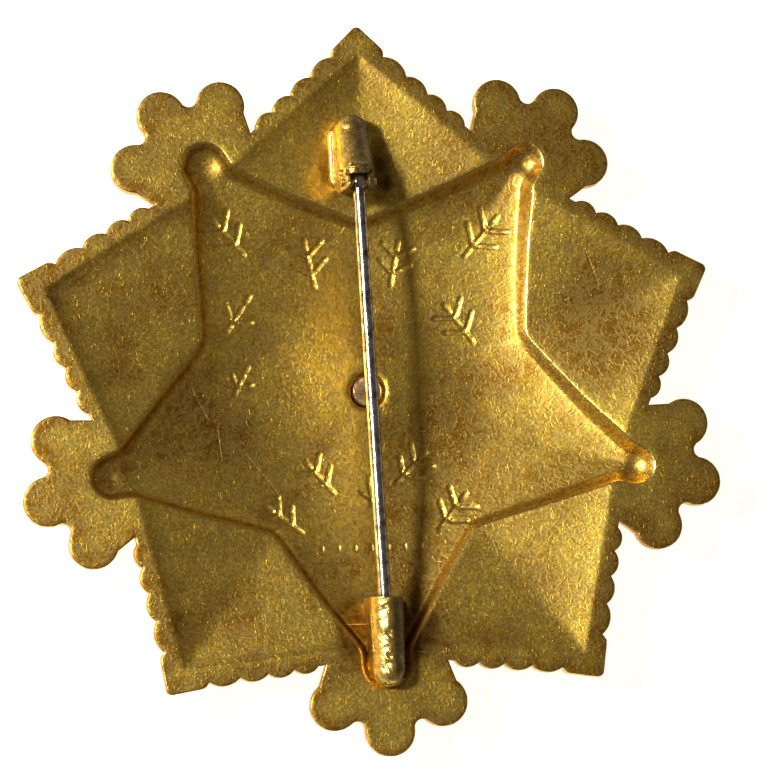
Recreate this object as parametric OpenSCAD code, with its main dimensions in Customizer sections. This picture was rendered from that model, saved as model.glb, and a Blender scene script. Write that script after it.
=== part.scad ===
// A five-armed badge of struck brass, lying on its front with its pin side up.
// Millimetres. The origin is under the middle, on the surface it lies on; +Y runs along one arm.

/* [Arms] */
// Distance from the middle to the end of an arm
arm_r = 25.15; // [24.8:0.05:25.4]
// Radius of the rounded end of an arm
arm_end_r = 0.42; // [0.35:0.01:0.5]
// Radius of the two round shoulders beside the end of an arm
shoulder_r = 0.55; // [0.5:0.01:0.6]
// Half the width over the two shoulders
shoulder_half_w = 1.82; // [1.75:0.01:1.9]
// Distance from the middle to the line through the hollows between scallops
scallop_line_d = 18.32; // [18.1:0.02:18.5]
// Angle between an arm's axis and its edge, in degrees
edge_angle = 48; // [47:0.5:49]
// Angle taken by one ray, in degrees
ray_pitch = 4.4; // [4.3:0.05:4.5]
// How far a scallop stands out from the line through its hollows
scallop_rise = 0.4; // [0.3:0.01:0.5]
// Distance from the middle to the crease round an arm's sunk panel
crease_d = 17.28; // [17.1:0.02:17.4]
// Width of the steep edge of the panel
panel_edge_w = 1.2; // [0.8:0.1:1.6]
// Depth of the panel at the foot of that edge
panel_edge_depth = 0.22; // [0.15:0.01:0.3]
// Depth of the panel's valley where it meets the pressed star
valley_depth = 1.6; // [1.55:0.01:1.62]

/* [Flowers] */
// Radius of a lobe
lobe_r = 1.68; // [1.6:0.01:1.75]
// Distance from the middle to the side lobes
side_lobe_dist = 21.92; // [21.8:0.02:22]
// Angle between the side lobes and the flower's axis, in degrees
side_lobe_angle = 9.7; // [9.6:0.05:9.8]
// Radius of the hollow between two lobes
hollow_r = 0.55; // [0.45:0.01:0.6]
// Half the width of the flower where it leaves the arms
neck_half_w = 4.2; // [4:0.05:4.5]
// How far the lobes are raised on the front
lobe_rise = 0.4; // [0.3:0.01:0.5]

/* [Plate] */
// Thickness of the rim
sheet_t = 1.0; // [0.9:0.02:1.1]
// Height of the rim's back face above the surface the badge lies on
rim_back_z = 4.65; // [4.6:0.01:4.7]
// Height of the front rays above the arms' front
ray_rise = 0.34; // [0.25:0.01:0.4]

/* [Pressed star] */
// Distance from the middle to the star's inner corners
star_inner_r = 11.9; // [11.8:0.02:12]
// Distance from the middle to where the star's edges would meet in its points
star_tip_r = 20.6; // [20.4:0.02:20.8]
// Width of the sloped wall round the star
star_wall_w = 0.68; // [0.64:0.01:0.75]
// Depth of the star's points under the rim
star_depth = 1.35; // [1.3:0.01:1.4]
// Depth of the star's middle under the rim
middle_depth = 2.65; // [2.6:0.01:2.7]
// Distance from the middle to the ball dimples
dimple_dist = 18.97; // [18.9:0.01:19.05]
// Radius of a dimple at the rim's back face
dimple_r = 1.65; // [1.6:0.01:1.7]
// Depth of a dimple
dimple_depth = 1.35; // [1.3:0.01:1.4]
// Radius of the ball knobs on the front
knob_r = 1.55; // [1.5:0.01:1.6]

/* [Middle] */
// Radius of the hole in the plate
hole_r = 1.25; // [1.22:0.01:1.3]
// Radius of the rivet
rivet_r = 1.0; // [0.95:0.01:1.03]
// How far the rivet's end lies under the star's floor
rivet_sink = 0.12; // [0.1:0.01:0.15]
// Radius of the front boss
boss_r = 7.2; // [6.8:0.1:7.4]

/* [Fastening] */
// Angle between the pin and the arm's axis, in degrees
lean = 1.0; // [0.8:0.1:1.2]
// Distance from the middle to the pin's line
pin_line_x = -0.46; // [-0.5:0.01:-0.4]
// Distance along the pin's line from the middle to the hinge axle
axle_y = 13.7; // [13.6:0.02:13.8]
// Height of the hinge axle
axle_z = 6.65; // [6.6:0.01:6.7]
// Angle by which the pin slopes down to the catch, in degrees
pin_slope = 1.1; // [1:0.05:1.2]
// Radius of the pin's straight stretch
wire_r = 0.42; // [0.4:0.01:0.43]
// Width over the hood of the hinge box
hood_w = 2.44; // [2.4:0.01:2.5]
// Width over the hook of the catch
catch_w = 2.32; // [2.3:0.01:2.4]
// Wall of the hood and of the catch
fitting_t = 0.45; // [0.42:0.01:0.46]
// Gap between pieces that only lie against each other
gap = 0.02; // [0.02:0.005:0.03]

/* [Hidden] */
$fn = 64;

ARMS = 5;
arm_turn = 360 / ARMS;
RAYS_A_SIDE = 4;
ARCH_STEPS = 20;
DOME_STEPS = 6;
cut_z = rim_back_z + 1.1;
rim_front_z = rim_back_z - sheet_t;
core_z = rim_back_z - sheet_t / 2;
lip = 0.03;
floor_mid_z = rim_back_z - middle_depth;

// Outline of the arms
first_hollow_angle = ray_pitch + 0.1;
shoulder_y = 23.29;
arm_end_root = 1.5;

// Outline of the flowers
mid_lobe = [0, arm_r - lobe_r];
side_lobe = side_lobe_dist * [sin(side_lobe_angle), cos(side_lobe_angle)];
flower_root_y = 17;
neck_y = 18.9;
lobe_foot = [4.72, 20.35];

// Pressed star: distance of its edges from the middle, and the depths of its floor under the rim
star_tip = star_tip_r * [sin(arm_turn / 2), cos(arm_turn / 2)];
star_edge = star_tip - [0, star_inner_r];
star_edge_d = star_inner_r * star_edge.x / norm(star_edge);
front_wall_offset = 0.47;
corner_foot_depth = valley_depth + 0.95;
tip_end_r = 19.4;
tip_half_w = 0.76;
half_way_r = 11;
half_way_depth = 2.18;
star_front_z = floor_mid_z - sheet_t;

// Rays of the arms and lobes of the flowers, on the front
ray_start_r = star_inner_r + 1;
ray_start_step = 0.9;
ray_step_z = 0.22;
ray_root_depth = valley_depth - 0.4;
ray_end_gap = 0.25;
ray_root_share = 1.25;
mid_ray_extra = 0.12;
lobe_margin = 0.12;

// Boss and rivet
boss_back_z = star_front_z - gap;
boss_back_rise = 0.05;
boss_step_z = 0.45;
boss_face_r = 5.9;
rivet_head_r = 1.7;
rivet_head_t = 0.4;
rivet_head_sink = 0.05;
rivet_clear = 0.05;

// Hinge box, axle and eye
hood_r = hood_w / 2;
hood_crest_z = 7.45;
hood_axis_z = hood_crest_z - hood_r;
hood_dome_y = 17.6;
hood_fall = 1.2;
hood_roof_y = 14.55;
cheek_r = 0.6;
cheek_lap = 0.3;
foot_z = 3.2;
rear_foot_z = 3.45;
foot_step_y = 15.2;
hollow_lap = 0.1;
hollow_rise = hollow_lap * hood_fall / (hood_dome_y - hood_roof_y);
flange_w = 0.42;
flange_top_z = 4.25;
axle_r = 0.27;
axle_fit = 0.02;
eye_r = 0.72;
eye_w = 1.0;
eye_fit = 0.05;

// Pin
root_r = 0.46;
root_len = 4.5;
straight_len = 23.6;
point_len = 5;
point_r = 0.12;

// Catch
catch_r = catch_w / 2;
catch_top_y = -14.6;
catch_dome_y = -19.4;
catch_axis_z = 5.87;
catch_shift = 0.15;
catch_lip_z = catch_axis_z + 0.2;
catch_foot_z = 3.9;
catch_base_z = 3.25;
catch_heel_len = 3.6;
catch_heel_z = 2.6;

function polar(r, a) = r * [sin(a), cos(a)];
function at_height(p, z) = [p.x, p.y, z];
function mirrored(p) = [-p.x, p.y];
function line_radius(d, a) = d / sin(edge_angle + a);
function hollow(i) = let (a = first_hollow_angle + i * ray_pitch) polar(line_radius(scallop_line_d, a), a);
// Where the lines at distances d1 (arm edge) and d2 (star edge) from the middle meet
function crossing(d1, d2) =
    let (n1 = [cos(edge_angle), sin(edge_angle)],
         n2 = [-star_edge.y, star_edge.x] / norm(star_edge),
         det = n1.x * n2.y - n1.y * n2.x)
    [(d1 * n2.y - d2 * n1.y) / det, (n1.x * d2 - n2.x * d1) / det];
// Centre of the circle of radius r that touches two equal circles from outside
function nestled(a, b, big_r, r) =
    let (half = norm(b - a) / 2, along = (b - a) / norm(b - a), out = [along.y, -along.x])
    (a + b) / 2 - out * sqrt((big_r + r) ^ 2 - half ^ 2);

module each_arm() {
    for (i = [0 : ARMS - 1])
        rotate([0, 0, i * arm_turn])
            children();
}

module each_flower() {
    rotate([0, 0, arm_turn / 2])
        each_arm()
            children();
}

// Gives a flat shape the thickness of the rim
module rim_slab() {
    linear_extrude(sheet_t)
        children();
}

// Two circles joined by their outer tangents
module tangent_pair(a, ra, b, rb) {
    way = (b - a) / norm(b - a);
    turn = asin((ra - rb) / norm(b - a));
    side = [-way.y, way.x] * cos(turn) + way * sin(turn);
    other = [way.y, -way.x] * cos(turn) + way * sin(turn);
    rim_slab()
        polygon([a + ra * side, b + rb * side, b, b + rb * other, a + ra * other, a]);
    translate(a)
        cylinder(r = ra, h = sheet_t);
    translate(b)
        cylinder(r = rb, h = sheet_t);
}

module arm_end() {
    end_centre = [0, arm_r - arm_end_r];
    shoulder = [shoulder_half_w - shoulder_r, shoulder_y];
    tangent_pair(end_centre, arm_end_r, shoulder, shoulder_r);
    tangent_pair(end_centre, arm_end_r, mirrored(shoulder), shoulder_r);
    root = [shoulder_half_w - shoulder_r, shoulder_y - arm_end_root];
    rim_slab()
        polygon([
            end_centre, shoulder, [shoulder_half_w, shoulder_y], hollow(0), root,
            mirrored(root), mirrored(hollow(0)), [-shoulder_half_w, shoulder_y], mirrored(shoulder)
        ]);
}

module scallop(a, b) {
    half = norm(b - a) / 2;
    r = (half ^ 2 + scallop_rise ^ 2) / (2 * scallop_rise);
    out = [cos(edge_angle), sin(edge_angle)];
    translate((a + b) / 2 - (r - scallop_rise) * out)
        cylinder(r = r, h = sheet_t);
}

module flower() {
    nest = nestled(mid_lobe, side_lobe, lobe_r, hollow_r);
    right = [[neck_half_w, flower_root_y], [neck_half_w, neck_y], lobe_foot, side_lobe, nest, mid_lobe];
    left = [for (i = [len(right) - 2 : -1 : 0]) mirrored(right[i])];
    difference() {
        rim_slab()
            polygon(concat(right, left));
        for (centre = [nest, mirrored(nest)])
            translate(at_height(centre, -1))
                cylinder(r = hollow_r, h = sheet_t + 2);
    }
    for (centre = [mid_lobe, side_lobe, mirrored(side_lobe)])
        translate(centre)
            cylinder(r = lobe_r, h = sheet_t);
}

module field() {
    flower_side_r = line_radius(scallop_line_d, arm_turn / 2);
    rim_slab()
        polygon([
            for (i = [0 : ARMS - 1])
                each [polar(norm(hollow(0)), i * arm_turn - first_hollow_angle),
                      polar(norm(hollow(0)), i * arm_turn + first_hollow_angle),
                      polar(flower_side_r, (i + 0.5) * arm_turn)]
        ]);
}

module flat_plate() {
    field();
    each_arm() {
        arm_end();
        for (side = [0, 1], i = [0 : RAYS_A_SIDE - 1])
            mirror([side, 0])
                scallop(hollow(i), hollow(i + 1));
    }
    each_flower()
        flower();
}

// The kite of one arm: a solid over its sunk panel, from the panel's surface up to top_z
module arm_kite(edge_z, top_z) {
    reach = 0.5;
    inner_d = star_edge_d - reach;
    lip_z = edge_z + lip;
    lip_d = crease_d + lip * panel_edge_w / panel_edge_depth;
    crease_side = crossing(lip_d, inner_d);
    foot_side = crossing(crease_d - panel_edge_w, inner_d);
    crease_top = [0, lip_d / sin(edge_angle)];
    foot_top = [0, (crease_d - panel_edge_w) / sin(edge_angle)];
    inner_top = [0, star_inner_r * inner_d / star_edge_d];
    foot_edge_z = edge_z - panel_edge_depth;
    valley_z = edge_z - valley_depth;
    polyhedron(
        [
            at_height(crease_top, top_z), at_height(crease_side, top_z),
            at_height(inner_top, top_z), at_height(mirrored(crease_side), top_z),
            at_height(crease_top, lip_z), at_height(crease_side, lip_z),
            at_height(mirrored(crease_side), lip_z), at_height(foot_top, foot_edge_z),
            at_height(foot_side, foot_edge_z), at_height(mirrored(foot_side), foot_edge_z),
            at_height(inner_top, valley_z)
        ],
        [
            [0, 1, 2, 3], [4, 5, 1, 0], [3, 6, 4, 0],
            [7, 8, 5, 4], [6, 9, 7, 4], [10, 8, 7], [9, 10, 7],
            [5, 8, 10, 2, 1], [2, 10, 9, 6, 3]
        ]
    );
}

// A ridge with a three-cornered section on the front, from radius r0 to r1 round angle a
module front_ridge(a, half_w0, half_w1, r0, r1, z0, z1) {
    root_z = core_z;
    base0 = [0, r0];
    base1 = [0, r1];
    rotate([0, 0, -a])
        polyhedron(
            [
                at_height(base0 + [half_w0, 0], root_z), at_height(base0 - [half_w0, 0], root_z),
                at_height(base0, z0),
                at_height(base1 + [half_w1, 0], root_z), at_height(base1 - [half_w1, 0], root_z),
                at_height(base1, z1)
            ],
            [[0, 2, 1], [3, 4, 5], [0, 1, 4], [0, 4, 3], [1, 2, 5], [1, 5, 4], [2, 0, 3], [2, 3, 5]]
        );
}

module arm_rays() {
    inner_z = rim_front_z - ray_root_depth - ray_rise;
    outer_z = rim_front_z - ray_rise;
    side_spread = ray_root_share * tan(ray_pitch / 2);
    for (side = [-1, 1], i = [0 : RAYS_A_SIDE - 1]) {
        a = first_hollow_angle + (i + 0.5) * ray_pitch;
        end_r = line_radius(scallop_line_d, a) - ray_end_gap;
        front_ridge(side * a, ray_start_r * side_spread, end_r * side_spread,
                    ray_start_r + i * ray_start_step, end_r, inner_z + i * ray_step_z, outer_z);
    }
    mid_spread = tan(first_hollow_angle);
    front_ridge(0, ray_start_r * mid_spread, shoulder_y * mid_spread,
                ray_start_r, shoulder_y, inner_z - mid_ray_extra, outer_z - mid_ray_extra);
}

module flower_front() {
    ball_r = (lobe_r ^ 2 + lobe_rise ^ 2) / (2 * lobe_rise);
    for (centre = [mid_lobe, side_lobe, mirrored(side_lobe)])
        translate(at_height(centre, 0))
            intersection() {
                translate([0, 0, rim_front_z - lobe_rise + ball_r])
                    sphere(ball_r);
                translate([0, 0, rim_front_z - lobe_rise])
                    cylinder(r = lobe_r - lobe_margin, h = lobe_rise + sheet_t / 2);
            }
}

// A solid in the shape of the pressed star, from its floor up to top_z. The star's edges lie `grow` further
// out than at the back's face, and the whole star `drop` lower.
module star_die(grow, drop, top_z) {
    count = 3 * ARMS;
    edge_k = (star_edge_d + grow) / star_edge_d;
    foot_k = (star_edge_d + grow - star_wall_w) / star_edge_d;
    zero_z = rim_back_z - drop;
    tip_turn = atan(tip_half_w / tip_end_r);
    end_r = norm([tip_end_r, tip_half_w]);
    plan = [for (i = [0 : ARMS - 1])
        each [polar(star_inner_r, i * arm_turn),
              polar(end_r, (i + 0.5) * arm_turn - tip_turn),
              polar(end_r, (i + 0.5) * arm_turn + tip_turn)]];
    polyhedron(
        concat(
            [for (p = plan) at_height(edge_k * p, top_z)],
            [for (i = [0 : count - 1])
                at_height(edge_k * plan[i], zero_z + lip - (i % 3 == 0 ? valley_depth : 0))],
            [for (i = [0 : count - 1])
                at_height(foot_k * plan[i], zero_z - (i % 3 == 0 ? corner_foot_depth : star_depth))],
            [for (i = [0 : ARMS - 1])
                at_height(polar(half_way_r, (i + 0.5) * arm_turn), zero_z - half_way_depth)],
            [[0, 0, zero_z - middle_depth]]
        ),
        concat(
            [[for (i = [0 : count - 1]) i]],
            [for (i = [0 : count - 1])
                let (j = (i + 1) % count)
                each [[j, i, count + i, count + j],
                      [count + j, count + i, 2 * count + i],
                      [count + j, 2 * count + i, 2 * count + j]]],
            [for (i = [0 : ARMS - 1])
                let (a = 2 * count + 3 * i, tip = a + 1, other = a + 2, b = 2 * count + (3 * i + 3) % count,
                     half_way = 3 * count + i, centre = 3 * count + ARMS)
                each [[centre, half_way, a], [a, half_way, tip], [tip, half_way, other],
                      [centre, b, half_way], [b, other, half_way]]]
        )
    );
}

module dimple() {
    ball_r = (dimple_r ^ 2 + dimple_depth ^ 2) / (2 * dimple_depth);
    translate([0, dimple_dist, rim_back_z - dimple_depth + ball_r])
        sphere(ball_r);
}

module knob() {
    translate([0, dimple_dist, rim_back_z - dimple_depth])
        sphere(knob_r);
}

// Round-topped bar closed by a dome: the outside or the hollow of the catch, along +Y
module bullet(r, axis_z, from_y, dome_y, base_z) {
    translate([0, 0, axis_z]) {
        translate([0, from_y, 0])
            rotate([-90, 0, 0])
                cylinder(r = r, h = dome_y - from_y);
        translate([0, dome_y, 0])
            sphere(r);
    }
    translate([0, dome_y, base_z])
        cylinder(r = r, h = axis_z - base_z);
    translate([-r, from_y, base_z])
        cube([2 * r, dome_y - from_y, axis_z - base_z]);
}

// A section of a vault across Y: its arch has the radius r, and its walls go down to base_z
function arch(y, r, axis_z, base_z) = concat(
    [[-r, y, base_z]],
    [for (i = [0 : ARCH_STEPS]) [-r * cos(i * 180 / ARCH_STEPS), y, axis_z + r * sin(i * 180 / ARCH_STEPS)]],
    [[r, y, base_z]]
);

// Vault whose crest falls from from_y to the dome that closes it: the outside or the hollow of the hood
module vault(r, axis_z, from_y, fall, base_z) {
    dome_z = axis_z - fall;
    dome = [for (i = [0 : DOME_STEPS]) i * 85 / DOME_STEPS];
    count = ARCH_STEPS + 3;
    polyhedron(
        [
            each arch(from_y, r, axis_z, base_z),
            for (a = dome) each arch(hood_dome_y + r * sin(a), r * cos(a), dome_z, base_z)
        ],
        [
            [for (i = [0 : count - 1]) i],
            for (k = [0 : DOME_STEPS], i = [0 : count - 1])
                [k * count + i, (k + 1) * count + i, (k + 1) * count + (i + 1) % count, k * count + (i + 1) % count],
            [for (i = [count - 1 : -1 : 0]) (DOME_STEPS + 1) * count + i]
        ]
    );
}

// Puts its children on the pin's line
module on_pin_line() {
    translate([pin_line_x, 0, 0])
        rotate([0, 0, lean])
            children();
}

module across(y, z, r, w) {
    translate([-w / 2, y, z])
        rotate([0, 90, 0])
            cylinder(r = r, h = w);
}

module hinge_box() {
    cheek_foot_y = axle_y - cheek_r;
    difference() {
        union() {
            vault(hood_r, hood_axis_z, hood_roof_y, hood_fall, rear_foot_z);
            across(axle_y, axle_z, cheek_r, hood_w);
            translate([-hood_r, cheek_foot_y, foot_z])
                cube([hood_w, hood_roof_y - cheek_foot_y + cheek_lap, axle_z - foot_z]);
            translate([-hood_r, axle_y, axle_z - cheek_r])
                cube([hood_w, hood_roof_y - axle_y + cheek_lap, cheek_r * 1.2]);
            translate([-hood_r - flange_w, cheek_foot_y, foot_z])
                cube([hood_w + 2 * flange_w, foot_step_y - cheek_foot_y, flange_top_z - foot_z]);
            translate([-hood_r - flange_w, cheek_foot_y, rear_foot_z])
                cube([hood_w + 2 * flange_w, hood_dome_y - cheek_foot_y, flange_top_z - rear_foot_z]);
        }
        vault(hood_r - fitting_t, hood_axis_z + hollow_rise, hood_roof_y - hollow_lap, hood_fall + hollow_rise,
              flange_top_z);
        translate([fitting_t - hood_r, cheek_foot_y - 1, flange_top_z])
            cube([hood_w - 2 * fitting_t, hood_roof_y - cheek_foot_y + 1, hood_crest_z - flange_top_z + 1]);
        across(axle_y, axle_z, axle_r + axle_fit, hood_w + 1);
    }
}

module catch() {
    inner_r = catch_r - fitting_t;
    mouth_len = catch_top_y - catch_dome_y + inner_r / 2;
    translate([catch_shift, 0, 0])
        mirror([0, 1, 0])
            difference() {
                union() {
                    bullet(catch_r, catch_axis_z, -catch_top_y, -catch_dome_y, catch_base_z);
                    translate([-catch_r, -catch_top_y, catch_heel_z])
                        cube([catch_w, catch_heel_len, catch_axis_z - catch_heel_z]);
                }
                bullet(inner_r, catch_axis_z, -catch_top_y - 1, -catch_dome_y, catch_foot_z);
                translate([0, -catch_top_y - 1, catch_foot_z])
                    cube([catch_r + 1, mouth_len + 1, catch_lip_z - catch_foot_z]);
            }
}

module star_plate() {
    color([0.66, 0.53, 0.2]) {
        difference() {
            union() {
                translate([0, 0, rim_front_z])
                    flat_plate();
                star_die(front_wall_offset, sheet_t, core_z);
                each_arm() {
                    arm_kite(rim_front_z, core_z);
                    arm_rays();
                }
                each_flower() {
                    flower_front();
                    knob();
                }
            }
            star_die(0, 0, cut_z);
            each_arm()
                arm_kite(rim_back_z, cut_z);
            each_flower()
                dimple();
            cylinder(r = hole_r, h = cut_z);
        }
        on_pin_line() {
            hinge_box();
            catch();
        }
    }
}

module centre_boss() {
    color([0.72, 0.58, 0.24])
        rotate_extrude()
            polygon([
                [rivet_r + rivet_clear, boss_back_z],
                [rivet_r + rivet_clear, rivet_head_t + rivet_head_sink + gap],
                [rivet_head_r + rivet_clear, rivet_head_sink],
                [rivet_head_r + rivet_clear, 0],
                [boss_face_r, 0],
                [boss_r, boss_step_z],
                [boss_r, boss_back_z + boss_back_rise]
            ]);
}

module centre_rivet() {
    color([0.6, 0.36, 0.25])
        rotate_extrude()
            polygon([
                [0, rivet_head_sink],
                [rivet_head_r - rivet_clear, rivet_head_sink],
                [rivet_r, rivet_head_t + rivet_head_sink],
                [rivet_r, floor_mid_z - rivet_sink],
                [0, floor_mid_z - rivet_sink]
            ]);
}

module hinge_axle() {
    color([0.5, 0.42, 0.2])
        on_pin_line()
            across(axle_y, axle_z, axle_r, hood_w);
}

module pin() {
    color([0.75, 0.75, 0.78])
        on_pin_line()
            difference() {
                union() {
                    across(axle_y, axle_z, eye_r, eye_w);
                    translate([0, axle_y, axle_z])
                        rotate([90 + pin_slope, 0, 0]) {
                            cylinder(r1 = root_r, r2 = wire_r, h = root_len);
                            translate([0, 0, root_len])
                                cylinder(r = wire_r, h = straight_len);
                            translate([0, 0, root_len + straight_len])
                                cylinder(r1 = wire_r, r2 = point_r, h = point_len);
                        }
                }
                across(axle_y, axle_z, axle_r + eye_fit, eye_w + 1);
            }
}

star_plate();
centre_boss();
centre_rivet();
hinge_axle();
pin();
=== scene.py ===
"""Dresses a struck brass badge, seen from its back, on the frame that the CAD gives.

Shapes are worked out in millimetres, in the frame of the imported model, and written in metres. The badge's
plate is one closed mesh whose back and front are height fields over a plane triangulation, so that creases,
walls and punched marks fall on real edges. The fittings, the pin, the rivet and the boss have meshes of
their own.
"""

import logging
import math
from collections.abc import Callable
from dataclasses import dataclass, field
from enum import Enum

import bpy
import numpy as np
from mathutils import Matrix, Vector, kdtree
from mathutils.geometry import delaunay_2d_cdt


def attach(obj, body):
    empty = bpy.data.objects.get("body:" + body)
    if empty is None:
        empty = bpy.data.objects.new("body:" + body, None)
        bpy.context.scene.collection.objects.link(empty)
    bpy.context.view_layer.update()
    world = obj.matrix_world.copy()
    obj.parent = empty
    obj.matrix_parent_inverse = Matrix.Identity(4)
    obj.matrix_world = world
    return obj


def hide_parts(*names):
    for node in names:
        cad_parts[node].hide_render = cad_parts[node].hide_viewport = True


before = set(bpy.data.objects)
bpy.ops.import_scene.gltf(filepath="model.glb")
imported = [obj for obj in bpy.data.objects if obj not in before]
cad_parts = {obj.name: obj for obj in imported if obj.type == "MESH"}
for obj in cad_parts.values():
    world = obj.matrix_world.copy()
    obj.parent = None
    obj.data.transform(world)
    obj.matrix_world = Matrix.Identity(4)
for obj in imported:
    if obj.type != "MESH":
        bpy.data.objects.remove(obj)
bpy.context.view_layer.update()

LOG = logging.getLogger("badge")
MM = 0.001
ARMS = 5
ARM_TURN = math.tau / ARMS
HALF_TURN = ARM_TURN / 2
RAYS_A_SIDE = 4
FLIP = np.array([-1, 1])
Colour = tuple[float, float, float]
Place = tuple[float, float, float]
Field = Callable[[np.ndarray], np.ndarray]
Piece = bpy.types.Object
Material = bpy.types.Material
Tree = bpy.types.NodeTree
Socket = bpy.types.NodeSocket
Given = Socket | float | tuple[float, ...]


def polar(radius: float, angle: float) -> np.ndarray:
    """Returns the point at a distance and a clockwise angle from +Y."""
    return np.array([radius * math.sin(angle), radius * math.cos(angle)])


def turned(points: np.ndarray, angle: float) -> np.ndarray:
    """Turns plane points counter-clockwise by an angle in radians."""
    c, s = math.cos(angle), math.sin(angle)
    return points @ np.array([[c, s], [-s, c]])


def arc(centre: np.ndarray, radius: float, step: float = 0.09) -> np.ndarray:
    """Returns a full circle as a closed loop of points about `step` apart."""
    count = max(12, int(math.ceil(math.tau * radius / step)))
    angles = np.arange(count) * math.tau / count
    return centre + radius * np.column_stack([np.cos(angles), np.sin(angles)])


def split_line(a: np.ndarray, b: np.ndarray, step: float) -> np.ndarray:
    """Returns points from a to b, both included, no more than `step` apart."""
    count = max(1, int(math.ceil(np.linalg.norm(b - a) / step)))
    t = np.linspace(0, 1, count + 1)[:, None]
    return a + (b - a) * t


def soft_ramp(x: np.ndarray, ease: float) -> np.ndarray:
    """Returns max(x, 0) with its corner rounded over about `ease`."""
    return (x + np.sqrt(x * x + ease * ease)) / 2


def unit(x: np.ndarray) -> np.ndarray:
    """Holds values between 0 and 1."""
    return np.clip(x, 0, 1)


def eased(share: np.ndarray) -> np.ndarray:
    """Softens both ends of a share between 0 and 1."""
    return share * share * (3 - 2 * share)


def swell(away: np.ndarray, width: float) -> np.ndarray:
    """Returns a soft bell, 1 where `away` is 0, that falls off over the width."""
    return np.exp(-((away / width) ** 2))


def rightward(points: np.ndarray, start: float, over: float) -> np.ndarray:
    """Returns a share that grows from 0 at x = start to 1 over a width."""
    return unit((points[:, 0] - start) / over)


def radius_of(points: np.ndarray) -> np.ndarray:
    """Returns each point's distance from the middle."""
    return np.hypot(points[:, 0], points[:, 1])


def plane_tree(points: np.ndarray | list[np.ndarray]) -> kdtree.KDTree:
    """Returns a search tree over plane points."""
    tree = kdtree.KDTree(len(points))
    for index, point in enumerate(points):
        tree.insert((point[0], point[1], 0), index)
    tree.balance()
    return tree


def inside_polygon(points: np.ndarray, polygon: np.ndarray) -> np.ndarray:
    """Says which points lie inside a polygon."""
    x, y = points[:, 0], points[:, 1]
    hit = np.zeros(len(points), bool)
    for (ax, ay), (bx, by) in zip(polygon, np.roll(polygon, -1, axis=0)):
        if ay == by:
            continue
        crosses = (ay > y) != (by > y)
        hit ^= crosses & (x < (bx - ax) * (y - ay) / (by - ay) + ax)
    return hit


@dataclass(frozen=True)
class BadgeSizes:
    """The badge's main sizes, in millimetres and radians, as in the part's source."""

    arm_r: float = 25.15
    arm_end_r: float = 0.42
    shoulder_r: float = 0.55
    shoulder_half_w: float = 1.82
    shoulder_y: float = 23.29
    arm_end_root: float = 1.5
    scallop_line_d: float = 18.32
    edge_angle: float = math.radians(48)
    ray_pitch: float = math.radians(4.4)
    first_gap: float = math.radians(0.1)
    scallop_rise: float = 0.4
    crease_d: float = 17.28
    lobe_r: float = 1.68
    side_lobe_dist: float = 21.92
    side_lobe_angle: float = math.radians(9.7)
    hollow_r: float = 0.55
    neck_half_w: float = 4.2
    neck_y: float = 18.9
    flower_root_y: float = 17.0
    lobe_foot: tuple[float, float] = (4.72, 20.35)
    sheet_t: float = 1.0
    rim_back_z: float = 4.65
    valley_depth: float = 1.6
    star_inner_r: float = 11.9
    star_tip_r: float = 20.6
    tip_end_r: float = 19.4
    star_wall_w: float = 0.68
    middle_depth: float = 2.65
    dimple_dist: float = 18.97
    dimple_r: float = 1.5
    hole_r: float = 1.25
    lean: float = math.radians(1.0)
    pin_line_x: float = -0.46
    axle_y: float = 13.7
    axle_z: float = 6.65
    pin_slope: float = math.radians(1.1)

    @property
    def first_hollow(self) -> float:
        """Angle from an arm's axis to its first hollow."""
        return self.ray_pitch + self.first_gap

    @property
    def rim_front_z(self) -> float:
        """Height of the rim's front face."""
        return self.rim_back_z - self.sheet_t

    @property
    def edge_normal(self) -> np.ndarray:
        """Outward direction across an arm's right edge."""
        return np.array([math.cos(self.edge_angle), math.sin(self.edge_angle)])

    @property
    def star_tip(self) -> np.ndarray:
        """The star's point to the right of the arm along +Y."""
        return polar(self.star_tip_r, HALF_TURN)

    @property
    def star_normal(self) -> np.ndarray:
        """Outward direction across the star's edge to the right of the arm along +Y."""
        edge = self.star_tip - np.array([0, self.star_inner_r])
        return np.array([-edge[1], edge[0]]) / np.linalg.norm(edge)

    @property
    def star_edge_d(self) -> float:
        """Distance from the middle to the line of a star's edge."""
        return float(self.star_normal @ self.star_tip)

    def hollow(self, index: int) -> np.ndarray:
        """Returns the hollow between two scallops on an arm's right edge."""
        angle = self.first_hollow + index * self.ray_pitch
        return polar(self.scallop_line_d / math.sin(self.edge_angle + angle), angle)

    def on_pin_line(self, points: np.ndarray) -> np.ndarray:
        """Moves points from the pin's own frame, whose +Y runs along the pin, to the badge's frame."""
        placed = np.array(points, dtype=float)
        placed[:, :2] = turned(placed[:, :2], self.lean)
        placed[:, 0] += self.pin_line_x
        return placed

    def on_axle(self, points: np.ndarray) -> np.ndarray:
        """Moves points that were turned about Z to the hinge's cross axis, in the badge's frame."""
        y, z = points[:, 0] + self.axle_y, points[:, 1] + self.axle_z
        return self.on_pin_line(np.column_stack([points[:, 2], y, z]))

    def lobes(self) -> list[np.ndarray]:
        """Returns the centres of a flower's three lobes, for a flower along +Y."""
        side = polar(self.side_lobe_dist, self.side_lobe_angle)
        return [np.array([0, self.arm_r - self.lobe_r]), side, side * FLIP]

    def nest(self) -> np.ndarray:
        """Returns the centre of the hollow between the middle lobe and the right one."""
        mid, side, _ = self.lobes()
        half = np.linalg.norm(side - mid) / 2
        along = (side - mid) / np.linalg.norm(side - mid)
        out = np.array([along[1], -along[0]])
        return (mid + side) / 2 - out * math.sqrt((self.lobe_r + self.hollow_r) ** 2 - half**2)


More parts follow.
